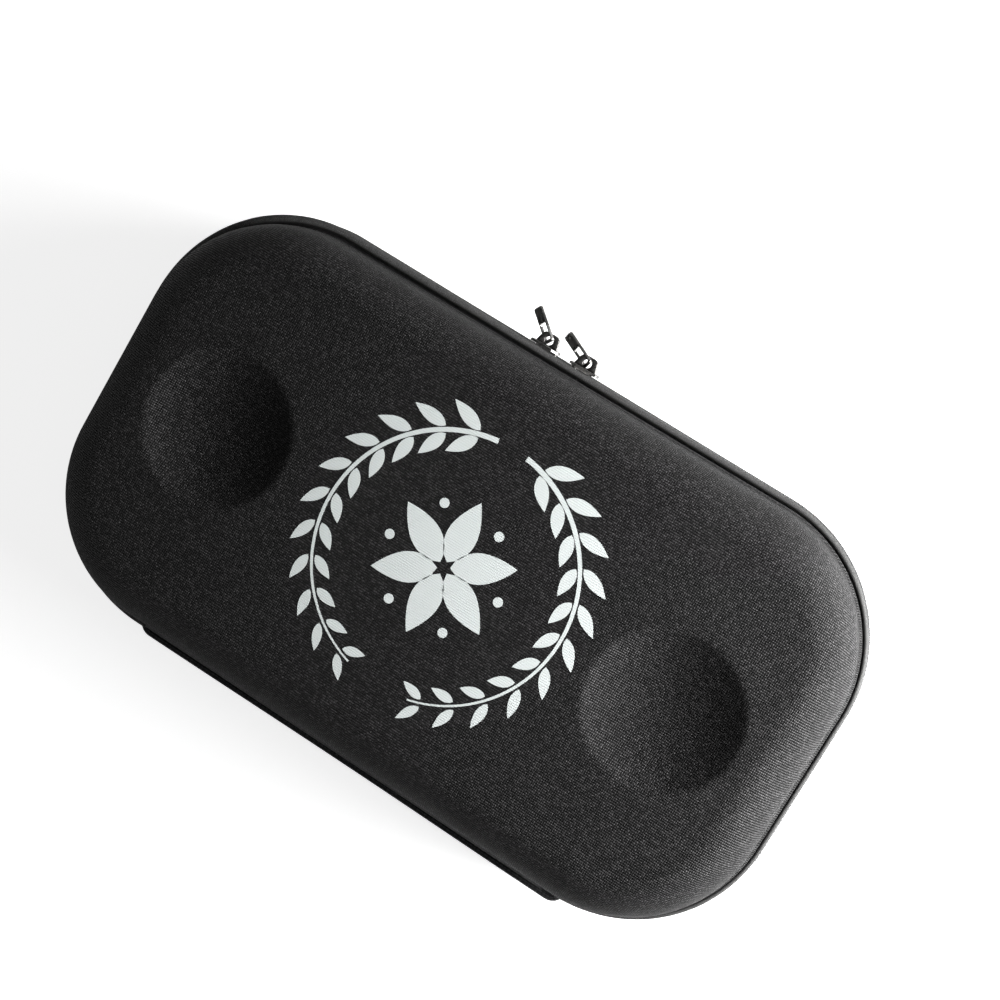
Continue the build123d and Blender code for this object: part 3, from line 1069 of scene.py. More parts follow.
# --- moulded shells
@dataclass
class Dish:
    """Round dish pressed into the lid."""

    middle: float = CASE.length / 2 - 48 * MM
    diameter: float = 54 * MM
    depth: float = 6.5 * MM
    rounding: float = 5 * MM

    def sink(self, x: float, y: float, inset: float) -> float:
        """How far the surface lies below the flat.

        Args:
            x: Place along the case.
            y: Place across the case.
            inset: How far inside the outer face the surface lies.

        Returns:
            The depth there.
        """
        ball = ((self.diameter / 2) ** 2 + self.depth**2) / (2 * self.depth) + inset
        lip = self.rounding - inset
        reach = math.sqrt((ball + lip) ** 2 - (ball - self.depth + lip) ** 2)
        out = math.hypot(abs(x) - self.middle, y)
        if out >= reach:
            return 0.0
        if out < ball * reach / (ball + lip):
            return self.depth - ball + math.sqrt(ball**2 - out**2)
        return lip - math.sqrt(max(0.0, lip**2 - (reach - out) ** 2))


@dataclass
class MouldedSkin:
    """Closed skin of a moulded half: outer face, rolled rim and inner face in one mesh."""

    name: str
    half: Half
    outer_inset: float
    inner_inset: float
    shoulder: float
    finish: Finish
    stands_for: str
    slot: str
    dish: Optional[Dish] = None
    height: float = 30 * MM
    rim: float = 8 * MM
    draft: float = 2.0
    rim_bead: float = 0.0
    bead_change: float = 0.0
    bead_height: float = 1.35 * MM
    bead_spread: float = 0.45 * MM
    bead_reach: float = 2.4
    rim_gap: float = 0.65 * MM
    curl: float = 0.6 * MM
    corner_steps: int = 33
    step: float = 1.5 * MM

    def _profile(self, inset: float) -> Outline:
        """Profile from the core rectangle out and down to the rim.

        Args:
            inset: How far inside the moulded face it lies.

        Returns:
            Distance out from the core and height above the closing plane.
        """
        lean = math.radians(self.draft)
        rise = self.height - self.rim - inset
        bend = self.shoulder - inset
        edge = CASE.corner - inset - rise * math.tan(lean)
        tangent = bend * math.tan((math.pi / 2 - lean) / 2)
        top = self.rim + rise
        flat = max(8, round((edge - tangent) / self.step))
        points = [((edge - tangent) * k / flat, top) for k in range(flat)]
        points += arc((edge - tangent, top - bend), bend, 90.0, self.draft - 90.0, 18)
        low_out, low_up = points[-1]
        wall_out = CASE.corner - inset
        above = self.rim + self.bead_height + self.bead_reach * self.bead_spread
        below = self.rim + self.rim_gap
        heights = [*np.linspace(low_up, above, 4)[1:], *np.linspace(above, below, 12)[1:]]
        return points + [(low_out + (wall_out - low_out) * (low_up - up) / (low_up - self.rim), up)
                         for up in heights]

    def _rows(self) -> list[tuple[float, float, float, float]]:
        """Profile of the whole skin, over its outer face, round its rim and back over its inner face.

        Returns:
            For each row its distance out, its height, the inset that its dish is measured at, and its
            share of the bead along the rim, which also paints it paler as a painted highlight.
        """
        outer = [(out, up, self.outer_inset,
                  math.exp(-(((up - self.rim - self.bead_height) / self.bead_spread) ** 2)))
                 for out, up in self._profile(self.outer_inset)]
        inner = [(out, up, self.inner_inset, 0.0) for out, up in self._profile(self.inner_inset)][::-1]
        outside, inside = CASE.corner - self.outer_inset, CASE.corner - self.inner_inset
        curl = min(self.curl, (outside - inside) / 2.5)
        turn = [(outside - curl + curl * math.cos(a), self.rim + curl - curl * math.sin(a),
                 self.outer_inset, 0.0) for a in (0.0, 0.4, 0.8, 1.2, math.pi / 2)]
        turn.append((inside + curl * 0.3, self.rim, self.inner_inset, 0.0))
        return outer + turn + inner

    def _smooth_dishes(self, made: bpy.types.Object) -> None:
        """Gives the points round the dishes the true slope of the pressed surface.

        Args:
            made: The skin.
        """
        reach, nudge = 33 * MM, 0.05 * MM
        normals = []
        for vertex in made.data.vertices:
            x, y, z = vertex.co
            near = math.hypot(abs(x) - self.dish.middle, y) < reach
            for inset, outwards in ((self.outer_inset, 1.0), (self.inner_inset, -1.0)):
                level = CASE.closing + self.height - inset - self.dish.sink(x, y, inset)
                if near and abs(z - level) < 0.01 * MM:
                    slope_x = self.dish.sink(x + nudge, y, inset) - self.dish.sink(x - nudge, y, inset)
                    slope_y = self.dish.sink(x, y + nudge, inset) - self.dish.sink(x, y - nudge, inset)
                    way = Vector((slope_x, slope_y, 2 * nudge)).normalized()
                    normals.append(tuple(way * outwards))
                    break
            else:
                normals.append((0.0, 0.0, 0.0))
        made.data.normals_split_custom_set_from_vertices(normals)

    def build(self) -> None:
        """Builds the skin."""
        piece = Piece(self.name)
        core_x, core_y = CASE.core
        count_x, count_y = (max(6, round(2 * half / self.step)) for half in (core_x, core_y))
        rows = self._rows()
        sign = self.half.value

        def place(x: float, y: float, up: float, inset: float) -> Place:
            """A point of the skin, with the dish pressed in."""
            sink = self.dish.sink(x, y, inset) if self.dish else 0.0
            return x, y, CASE.closing + sign * (up - sink)

        def core_grid(up: float, inset: float, deep: float) -> dict[tuple[int, int], int]:
            """Covers the core rectangle.

            Args:
                up: Height above the closing plane.
                inset: The inset that its dish is measured at.
                deep: How far its place on the cloth is shifted.

            Returns:
                Its points by column and row.
            """
            found = {}
            for i in range(count_x + 1):
                for j in range(count_y + 1):
                    x, y = core_x * (2 * i / count_x - 1), core_y * (2 * j / count_y - 1)
                    found[i, j] = piece.point(place(x, y, up, inset), (x, y + deep))
            for i in range(count_x):
                for j in range(count_y):
                    piece.face(found[i, j], found[i + 1, j], found[i + 1, j + 1], found[i, j + 1])
            return found

        outer_grid = core_grid(rows[0][1], rows[0][2], 0.0)
        inner_grid = core_grid(rows[-1][1], rows[-1][2], 0.5)
        sides = ([(count_x, j) for j in range(count_y + 1)], [(i, count_y) for i in range(count_x, -1, -1)],
                 [(0, j) for j in range(count_y, -1, -1)], [(i, 0) for i in range(count_x + 1)])
        rim_walk: list[tuple[int, int, float]] = []
        for quarter, side in enumerate(sides):
            rim_walk += [(*spot, 90.0 * quarter) for spot in side]
            rim_walk += [(*side[-1], 90.0 * (quarter + k / self.corner_steps))
                         for k in range(1, self.corner_steps)]
        lengths = np.cumsum([0.0] + [math.dist(a[:2], b[:2]) for a, b in zip(rows, rows[1:])])
        columns = []
        for i, j, degrees in rim_walk:
            x, y = core_x * (2 * i / count_x - 1), core_y * (2 * j / count_y - 1)
            angle = math.radians(degrees)
            out_x, out_y = math.cos(angle), math.sin(angle)
            column = [outer_grid[i, j]]
            along = (x + out_x * CASE.corner) / (CASE.length / 2)
            bead = max(0.0, self.rim_bead - self.bead_change * along)
            for (out, up, inset, share), run in zip(rows[1:-1], lengths[1:-1]):
                reach = out + bead * share
                at = place(x + out_x * reach, y + out_y * reach, up, inset)
                inside = inset == self.inner_inset
                flat = lengths[-1] - run if inside else run
                # The bead's share goes into the cloth's third number, which paints the bead paler: a painted
                # highlight.
                column.append(piece.point(at, (x + out_x * flat, y + out_y * flat + (0.5 if inside else 0.0),
                                               share * MM)))
            column.append(inner_grid[i, j])
            columns.append(column)
        for first, second in zip(columns, columns[1:] + columns[:1]):
            piece.band(first, second, closed=False)
        made = piece.make(self.finish, self.half.body, sharp_angle=70.0)
        if self.dish:
            self._smooth_dishes(made)
        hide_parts(self.stands_for)


# --- zip
@dataclass(frozen=True)
class TapeFold:
    """Middle line of the tape across the wall: out from the wall, and away from the closing plane."""

    thickness: float = 1.0 * MM
    seam_line: float = -4.7 * MM
    sewn_edge: float = 13.4 * MM
    turn_radius: float = 1.4 * MM
    level: float = 7.2 * MM
    dip_radius: float = 0.7 * MM
    groove_radius: float = 1.0 * MM
    roll_radius: float = 0.8 * MM
    roll_height: float = 5.9 * MM
    reach: float = 3.6 * MM
    return_radius: float = 0.55 * MM
    coil_out: float = 2.55 * MM
    coil_edge: float = 3.1 * MM

    @property
    def roll(self) -> Pair:
        """Middle of the roll."""
        return self.reach - self.thickness / 2 - self.roll_radius, self.roll_height

    def _to_roll(self, turn: float) -> Outline:
        """The line from the sewn edge, under the wall, down into the groove and round the roll.

        Args:
            turn: How far round the roll it goes, in degrees.

        Returns:
            The line's points.
        """
        corner = (self.seam_line + self.turn_radius, self.level + self.turn_radius)
        groove = (self.roll[0] - self.roll_radius - self.groove_radius, self.roll_height)
        dip = (groove[0] - self.groove_radius - self.dip_radius, self.level - self.dip_radius)
        points = [(self.seam_line, self.sewn_edge), (self.seam_line, (self.sewn_edge + corner[1]) / 2)]
        points += arc(corner, self.turn_radius, 180.0, 90.0, 6)
        points += [((corner[0] + dip[0]) / 2, self.level)]
        points += arc(dip, self.dip_radius, 90.0, -90.0, 5)
        points += arc(groove, self.groove_radius, 180.0, 180.0, 13)
        return points + arc(self.roll, self.roll_radius, 180.0, -turn, 15)[1:]

    def zip_line(self) -> Outline:
        """Draws the whole line of the zip tape.

        Returns:
            The line's points, down to the coil.
        """
        reach = self.roll_radius + self.return_radius
        back = math.degrees(math.acos((self.coil_out - self.roll[0] + self.return_radius) / reach))
        comeback = (self.roll[0] + reach * math.cos(math.radians(back)),
                    self.roll[1] - reach * math.sin(math.radians(back)))
        points = self._to_roll(180.0 + back)
        points += arc(comeback, self.return_radius, 180.0 - back, back, 4)[1:]
        return points + [(self.coil_out, (comeback[1] + self.coil_edge) / 2), (self.coil_out, self.coil_edge)]

    def hinge_line(self) -> Outline:
        """Draws the line of the hinge cloth.

        Returns:
            The line's points, from the lid's seam to the base's.
        """
        upper = self._to_roll(180.0)
        face_out = upper[-1][0]
        upper += [(face_out, self.roll_height * share) for share in (0.8, 0.6, 0.4, 0.2)]
        return upper + [(face_out, 0.0)] + [(out, -up) for out, up in upper[::-1]]


@dataclass
class ZipTape:
    """Half of the zip tape: sewn in behind the wall, folded into a roll under its edge, to the coil."""

    half: Half
    fold: TapeFold = TapeFold()
    start_x: float = 84 * MM
    bulge_change: float = 0.75 * MM
    pucker: float = 0.10 * MM
    pucker_length: float = 1.9 * MM
    pucker_scale: float = 60.0
    softness: float = 0.12 * MM
    soft_scale: float = 22.0
    # Where on the roll the painted highlight starts and how fast it fades in.
    painted_lit_inner: float = 0.9 * MM
    painted_lit_fade: float = 0.8 * MM

    def build(self) -> None:
        """Builds the tape."""
        piece = Piece(f"zip_tape_roll_{self.half.body}")
        outline = thicken(self.fold.zip_line(), self.fold.thickness)
        sign = self.half.value

        def section(stop: Stop) -> Outline:
            """Bends the tape's outline: fuller towards one end, puckered at the corners.

            Args:
                stop: The place along the wall.

            Returns:
                The outline there.
            """
            fuller = 1.0 + self.bulge_change * stop.at.x / (CASE.length / 2) / self.fold.reach
            bend = 1.0 if abs(abs(stop.out.x) - abs(stop.out.y)) < 0.98 else 0.0
            ripple = self.pucker * bend * math.sin(stop.run / self.pucker_length) * noise.noise(
                Vector((stop.run * self.pucker_scale, 3.0 + sign, 0.0)))
            soft = self.softness * noise.noise(Vector((stop.run * self.soft_scale, 9.0 * sign, 0.0)))
            found = []
            for out, up in outline:
                share = min(1.0, max(0.0, out / self.fold.reach))
                moved = out * fuller + (ripple + soft) * share if out > 0 else out
                found.append((moved, sign * up))
            return found

        def painted_lit_share(out: float) -> float:
            """How far the roll is painted pale as if lit: all of its outer side, none of the groove behind
            it, which stays dark as painted shade.
            """
            return min(1.0, max(0.0, (out - self.fold.roll[0] + self.painted_lit_inner) / self.painted_lit_fade))

        swept(piece, CASE.stops(self.start_x, 1.6 * MM), False, section, painted_highlight=painted_lit_share)
        made = piece.make(ZIP_TAPE_CLOTH, self.half.body)
        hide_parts(f"zip_tape_{self.half.body}")


@dataclass
class ZipCoil:
    """One row of the coil: a nylon turn at each pitch, with the cord that they are sewn over."""

    half: Half
    start_x: float = 84 * MM - 2.6 * MM
    pitch: float = 1.45 * MM
    out: float = 2.55 * MM
    edge: float = 3.1 * MM
    head: float = -0.75 * MM
    width: float = 0.95 * MM
    thickness: float = 1.5 * MM
    cord: Pair = (0.5 * MM, 0.35 * MM)
    cord_level: float = 2.1 * MM

    def build(self) -> None:
        """Builds the row."""
        piece = Piece(f"zip_coil_turns_{self.half.body}")
        sign = self.half.value
        stops = CASE.stops(self.start_x, 0.8 * MM)
        runs = np.array([stop.run for stop in stops])
        places = np.array([(*stop.at, *stop.out) for stop in stops])
        count = int((runs[-1] - 2 * self.pitch) / self.pitch)
        levels = [(self.edge, 0.35), (self.edge - 0.25 * MM, 0.8), (1.3 * MM, 0.85), (0.75 * MM, 0.62),
                  (0.25 * MM, 0.62), (0.0, 0.74), (-0.25 * MM, 0.88), (self.head + 0.15 * MM, 0.88),
                  (self.head, 0.45)]
        for number in range(count):
            run = self.pitch * (number + 0.75 + 0.25 * sign)
            x, y, out_x, out_y = (np.interp(run, runs, places[:, k]) for k in range(4))
            out = Vector((out_x, out_y, 0.0)).normalized()
            along = Vector((out.y, -out.x, 0.0))
            centre = Vector((x, y, CASE.closing)) + out * self.out
            loops = []
            for up, girth in levels:
                loop = [centre + Vector((0.0, 0.0, sign * up)) + along * math.cos(a) * self.width / 2 * girth
                        + out * math.sin(a) * self.thickness / 2 * girth
                        for a in turns(8)]
                loops.append(piece.ring(loop, [(run + k * 0.2 * MM, up) for k in range(8)]))
            piece.loft(loops)

        cord = [(self.out + self.cord[0] * math.cos(a), sign * (self.cord_level + self.cord[1] * math.sin(a)))
                for a in turns(6)]
        swept(piece, stops, False, lambda _: cord)
        made = piece.make(COIL_NYLON, self.half.body)
        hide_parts(f"zip_coil_{self.half.body}")


# --- hinge, binding
@dataclass
class FabricHinge:
    """One strip of cloth along the back that joins the two halves."""

    fold: TapeFold = TapeFold()
    half_length: float = 83.5 * MM
    sag: float = 0.25 * MM
    sag_scale: float = 45.0
    sag_height: float = 3 * MM
    steps: int = 84

    def build(self) -> None:
        """Builds the strip."""
        piece = Piece("hinge_strip")
        outline = thicken(self.fold.hinge_line(), self.fold.thickness)
        distance = around(outline)
        rings = []
        for x in np.linspace(-self.half_length, self.half_length, self.steps + 1):
            ripple = self.sag * noise.noise(Vector((x * self.sag_scale, 0.0, 5.0)))
            places = []
            for out, up in outline:
                inward = ripple * math.exp(-((up / self.sag_height) ** 2)) if out > 0 else 0.0
                places.append((x, CASE.width / 2 + out + inward, CASE.closing + up))
            rings.append(piece.ring(places, [(x, d) for d in distance]))
        piece.loft(rings)
        made = piece.make(HINGE_CLOTH, None)
        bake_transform(made)
        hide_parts("hinge_fabric_base", "hinge_fabric_lid")


@dataclass
class RimBinding:
    """Bias tape folded over the seam inside the rim, with its row of stitches."""

    half: Half
    inset: float = 6.3 * MM
    low: float = 6.8 * MM
    height: float = 7.2 * MM
    thickness: float = 1.6 * MM
    unevenness: float = 0.12 * MM
    uneven_scale: float = 80.0
    seams: Pair = (2.0 * MM, 1.6 * MM)
    stitch: Stitch = Stitch(2.6 * MM, 0.8 * MM, 0.35 * MM)

    def build(self) -> None:
        """Builds the tape and its stitches."""
        sign = self.half.value
        stops = CASE.stops(0.0, 2.2 * MM)
        middle = -(self.inset + self.thickness / 2)
        round_up = self.thickness / 2
        outline = arc((middle, self.low + round_up), round_up, 180.0, 180.0, 6)
        outline += arc((middle, self.low + self.height - round_up), round_up, 0.0, 180.0, 6)
        piece = Piece(f"rim_binding_tape_{self.half.body}")

        def section(stop: Stop) -> Outline:
            """The binding's outline at one place, a little uneven as sewn tape is."""
            uneven = self.unevenness * noise.noise(Vector((stop.run * self.uneven_scale, 1.0, sign)))
            return [(out, sign * (up + uneven)) for out, up in outline]

        swept(piece, stops, True, section)
        made = piece.make(BINDING_CLOTH, self.half.body)
        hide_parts(f"rim_binding_{self.half.body}")
        threads = Piece(f"rim_binding_stitches_{self.half.body}")
        inner = middle - self.thickness / 2
        loop = stops + stops[:1]
        for up in (self.low + self.seams[0], self.low + self.height - self.seams[1]):
            places = [Vector((*(s.at + s.out * inner), CASE.closing + sign * up)) for s in loop]
            normals = [Vector((-s.out.x, -s.out.y, 0.0)) for s in loop]
            stitch_line(threads, places, normals, self.stitch)
        sewn = threads.make(THREAD, self.half.body)


# --- carry handle
@dataclass
class CarryHandle:
    """Flat webbing strap whose ends are folded under and sewn to the back wall."""

    half_length: float = 91 * MM
    width: float = 12 * MM
    thickness: float = 2 * MM
    stand_out: float = 11 * MM
    drop: float = 8.6 * MM
    foot: float = 24 * MM
    foot_gap: float = 0.9 * MM
    lean: float = 9.0
    swing: float = 0.5
    edge: float = 0.5 * MM
    crown: float = 0.08 * MM
    slack: float = 0.35 * MM
    seam_length: float = 13 * MM
    seam_inset: float = 1.2 * MM
    seam_margin: float = 2.0 * MM
    thread_lift: float = 0.02 * MM
    patch_length: float = 16 * MM
    patch_margin: float = 0.7 * MM
    patch_corner: float = 1.5 * MM
    stitch: Stitch = Stitch(2.0 * MM, 0.5 * MM, 0.45 * MM)

    def _line(self) -> Outline:
        """Draws the middle of the strap.

        Returns:
            Its points, along the wall and out from it.
        """
        outer = self.stand_out - self.thickness / 2
        inner = self.foot_gap + self.thickness / 2
        fold = (outer - inner) / 2
        fold_x = self.half_length - self.thickness / 2 - fold
        foot_end = self.half_length - self.foot
        points = [(-foot_end, inner), (-(foot_end + fold_x) / 2, inner)]
        points += [(-x, y) for x, y in arc((fold_x, inner + fold), fold, -90.0, 180.0, 13)]
        points += [(fold_x * (2 * share - 1), outer - self.slack * math.sin(math.pi * share) ** 2)
                   for share in np.linspace(0.0, 1.0, 61)[1:-1]]
        points += arc((fold_x, inner + fold), fold, 90.0, -180.0, 13)
        points += [((foot_end + fold_x) / 2, inner), (foot_end, inner)]
        return points

    def build(self) -> None:
        """Builds the strap, its anchors and their stitching."""
        line = np.array(self._line())
        along, runs = along_line(line)
        middle_z = CASE.closing - self.drop - self.width / 2
        piece = Piece("handle_webbing")
        rings = []
        half_w, half_t, bevel, crown = self.width / 2, self.thickness / 2, self.edge, self.crown
        section = [(-half_w, -half_t + bevel), (-half_w, half_t - bevel), (-half_w + bevel, half_t)]
        section += [(share * half_w, half_t + crown * (1 - 0.75 * abs(share))) for share in (-0.5, 0.0, 0.5)]
        section += [(half_w - bevel, half_t), (half_w, half_t - bevel), (half_w, -half_t + bevel)]
        section += [(half_w - bevel, -half_t), (half_w / 2, -half_t), (0.0, -half_t), (-half_w / 2, -half_t)]
        section += [(-half_w + bevel, -half_t)]
        for (x, y), (way_x, way_y), run in zip(line, along, runs):
            side_x, side_y = -way_y, way_x
            free = max(0.0, min(1.0, (y - self.foot_gap - self.thickness) / (5 * MM)))
            tilt = math.radians(self.lean) * free
            places, flat = [], []
            for across, off in section:
                swing = -across * math.sin(tilt) * self.swing
                places.append((x + side_x * off, CASE.width / 2 + y + side_y * off + swing * abs(way_x),
                               middle_z + across * math.cos(tilt)))
                flat.append((run, across + off))
            rings.append(piece.ring(places, flat))
        piece.loft(rings)
        made = piece.make(WEBBING, "base", sharp_angle=65.0)
        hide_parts("handle_strap")
        self._stitch(middle_z)
        for side in Side:
            self._anchor(side, middle_z)

    def _stitch(self, middle_z: float) -> None:
        """Sews a box with a cross through each foot.

        Args:
            middle_z: Height of the strap's middle.
        """
        threads = Piece("handle_stitches")
        face = CASE.width / 2 + self.foot_gap + self.thickness + self.thread_lift
        reach = self.width / 2 - self.seam_margin
        for side in Side:
            start = side.value * (self.half_length - self.foot + self.seam_inset)
            end = start + side.value * self.seam_length
            sew_box(threads, (start, -reach), (end, reach), lambda x, z: (x, face, middle_z + z),
                    Vector((0.0, 1.0, 0.0)), self.stitch)
        sewn = threads.make(THREAD, "base")

    def _anchor(self, side: Side, middle_z: float) -> None:
        """Builds the patch under a foot.

        Args:
            side: Which end of the strap.
            middle_z: Height of the strap's middle.
        """
        piece = Piece(f"handle_patch_{side}")
        x_mid = side.value * (self.half_length - self.foot + self.patch_length / 2)
        rows = []
        for off, grow in ((0.12 * MM, -0.3 * MM), (0.3 * MM, 0.1 * MM), (0.7 * MM, 0.1 * MM),
                          (0.86 * MM, -0.2 * MM)):
            loop = rounded_box((0.0, 0.0), self.patch_length / 2 + grow,
                               self.width / 2 + self.patch_margin + grow, self.patch_corner, 5)
            places = [(x_mid + x, CASE.width / 2 + off, middle_z + z) for x, z in loop]
            rows.append(piece.ring(places, loop))
        piece.loft(rows)
        made = piece.make(WEBBING, "base")
        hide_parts(f"handle_anchor_{side}")


# --- inside
@dataclass
class NetPocket:
    """Net across the back of the lid with an elastic hem along its mouth."""

    inset: float = 7.0 * MM
    level: float = 39.5 * MM
    mouth: float = -20 * MM
    hem_width: float = 3.0 * MM
    hem_thickness: float = 1.6 * MM
    gather: float = 0.15 * MM
    gather_length: float = 1.15 * MM
    thread: float = 0.25 * MM
    end_gap: float = 0.15 * MM
    sag: float = 1.1 * MM
    evenness: float = 0.7
    wave: float = 0.5
    wave_scale: float = 25.0

    def _half_length_at(self, y: float) -> float:
        """Half the pocket's length at a place across the case.

        Args:
            y: Place across the case.

        Returns:
            Half its length there.
        """
        core_x, core_y = CASE.core
        radius = CASE.corner - self.inset
        over = max(0.0, abs(y) - core_y)
        return core_x + math.sqrt(max(0.0, radius**2 - over**2))

    def build(self) -> None:
        """Builds the net and its hem."""
        top = CASE.width / 2 - self.inset
        sheet = Piece("pocket_net")
        rows = []
        for turn in np.linspace(0.0, math.pi / 2, 45):
            y = self.mouth + (top - self.end_gap - self.mouth) * math.sin(turn)
            half = self._half_length_at(y)
            row, flat = [], []
            for x in np.linspace(-half, half, 97):
                free = (1 - (x / max(half, 1e-6)) ** 2) * math.cos(turn)
                wave = noise.noise(Vector((x, y, 0.0)) * self.wave_scale)
                drop = self.sag * free * (self.evenness + self.wave * wave)
                row.append((x, y, self.level - drop))
                flat.append((x, y))
            rows.append(sheet.ring(row, flat))
        for first, second in zip(rows, rows[1:]):
            sheet.band(first, second, closed=False)
        net = sheet.make(NET, "lid")
        solid = net.modifiers.new("thread", "SOLIDIFY")
        solid.thickness = self.thread
        solid.offset = 0.0
        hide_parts("mesh_pocket")
        hem = Piece("pocket_elastic_hem")
        rings = []
        half = self._half_length_at(self.mouth)
        for x in np.linspace(-half, half, 151):
            free = 1 - (x / half) ** 2
            thick = self.hem_thickness / 2 + self.gather * math.sin(x / self.gather_length)
            centre_z = self.level - self.sag * free * self.evenness
            outline = []
            for a in turns(12):
                across = math.copysign(abs(math.cos(a)) ** 0.6, math.cos(a)) * self.hem_width / 2
                off = math.copysign(abs(math.sin(a)) ** 0.8, math.sin(a)) * thick
                outline.append((x, self.mouth + across, centre_z + off))
            rings.append(hem.ring(outline, [(x, k * 0.7 * MM) for k in range(12)]))
        hem.loft(rings)
        band = hem.make(ELASTIC, "lid")
        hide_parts("pocket_hem")


@dataclass
class TubingStrap:
    """Elastic strap that humps over the coiled tubing, sewn down under a patch at each end."""

    width: float = 25 * MM
    thickness: float = 1.5 * MM
    reach: float = 58 * MM
    foot: float = 12 * MM
    ramp: float = 8 * MM
    lift: float = 8.5 * MM
    floor: float = 3.8 * MM
    steps: int = 120
    edge: float = 0.3 * MM
    ribs: int = 17
    rib_height: float = 0.12 * MM
    patch: float = 0.8 * MM
    patch_length: float = 9 * MM
    patch_shift: float = 1.5 * MM
    patch_corner: float = 1.5 * MM
    seam_margin: Pair = (1.6 * MM, 1.3 * MM)
    stitch: Stitch = Stitch(2.2 * MM, 0.6 * MM, 0.4 * MM)

    def _line(self) -> Outline:
        """Draws the middle of the strap.

        Returns:
            Its points, across the case and up.
        """
        low, high = self.floor + self.thickness / 2, self.floor + self.lift + self.thickness / 2
        points = []
        for y in np.linspace(-self.reach, self.reach, self.steps + 1):
            inward = (self.reach - self.foot - abs(y)) / self.ramp
            share = min(1.0, max(0.0, inward))
            points.append((y, low + (high - low) * share * share * (3 - 2 * share)))
        return points

    def build(self) -> None:
        """Builds the strap, its patches and their stitching."""
        piece = Piece("tubing_elastic")
        line = self._line()
        rings = []
        half_w, half_t, edge, parts = self.width / 2, self.thickness / 2, self.edge, 2 * self.ribs
        upper = [(-half_w + edge + (2 * half_w - 2 * edge) * k / parts, (k % 2) * self.rib_height)
                 for k in range(parts + 1)]
        for (y, z), run in zip(line, along_line(np.array(line))[1]):
            top = [(x, y, z + half_t - self.rib_height + rise) for x, rise in upper]
            low = [(x, y, z + up) for x, up in (
                (half_w, half_t - edge), (half_w, edge - half_t), (half_w - edge, -half_t),
                (edge - half_w, -half_t), (-half_w, edge - half_t), (-half_w, half_t - edge))]
            places = top + low
            rings.append(piece.ring(places, [(run, p[0]) for p in places]))
        piece.loft(rings)
        made = piece.make(ELASTIC, "base", sharp_angle=80.0)
        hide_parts("tubing_strap")
        self._patches()

    def _patches(self) -> None:
        """Builds the two sewn patches."""
        patches = Piece("strap_end_patches")
        threads = Piece("strap_stitches")
        base = self.floor + self.thickness
        for side in (-1, 1):
            middle = side * (self.reach - self.foot / 2 + self.patch_shift)
            half_x, half_y = self.width / 2, self.patch_length / 2
            rows = []
            for up, grow in ((0.0, -0.2 * MM), (0.2 * MM, 0.0), (self.patch - 0.25 * MM, 0.0),
                             (self.patch, -0.3 * MM)):
                loop = rounded_box((0.0, 0.0), half_x + grow, half_y + grow, self.patch_corner, 5)
                rows.append(patches.ring([(x, middle + y, base + up) for x, y in loop], loop))
            patches.loft(rows)
            level = base + self.patch
            x, y = half_x - self.seam_margin[0], half_y - self.seam_margin[1]
            sew_box(threads, (-x, -y), (x, y), lambda u, v: (u, middle + v, level), Vector((0.0, 0.0, 1.0)),
                    self.stitch)
        made = patches.make(BINDING_CLOTH, "base")
        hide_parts("strap_patches")
        sewn = threads.make(THREAD, "base")


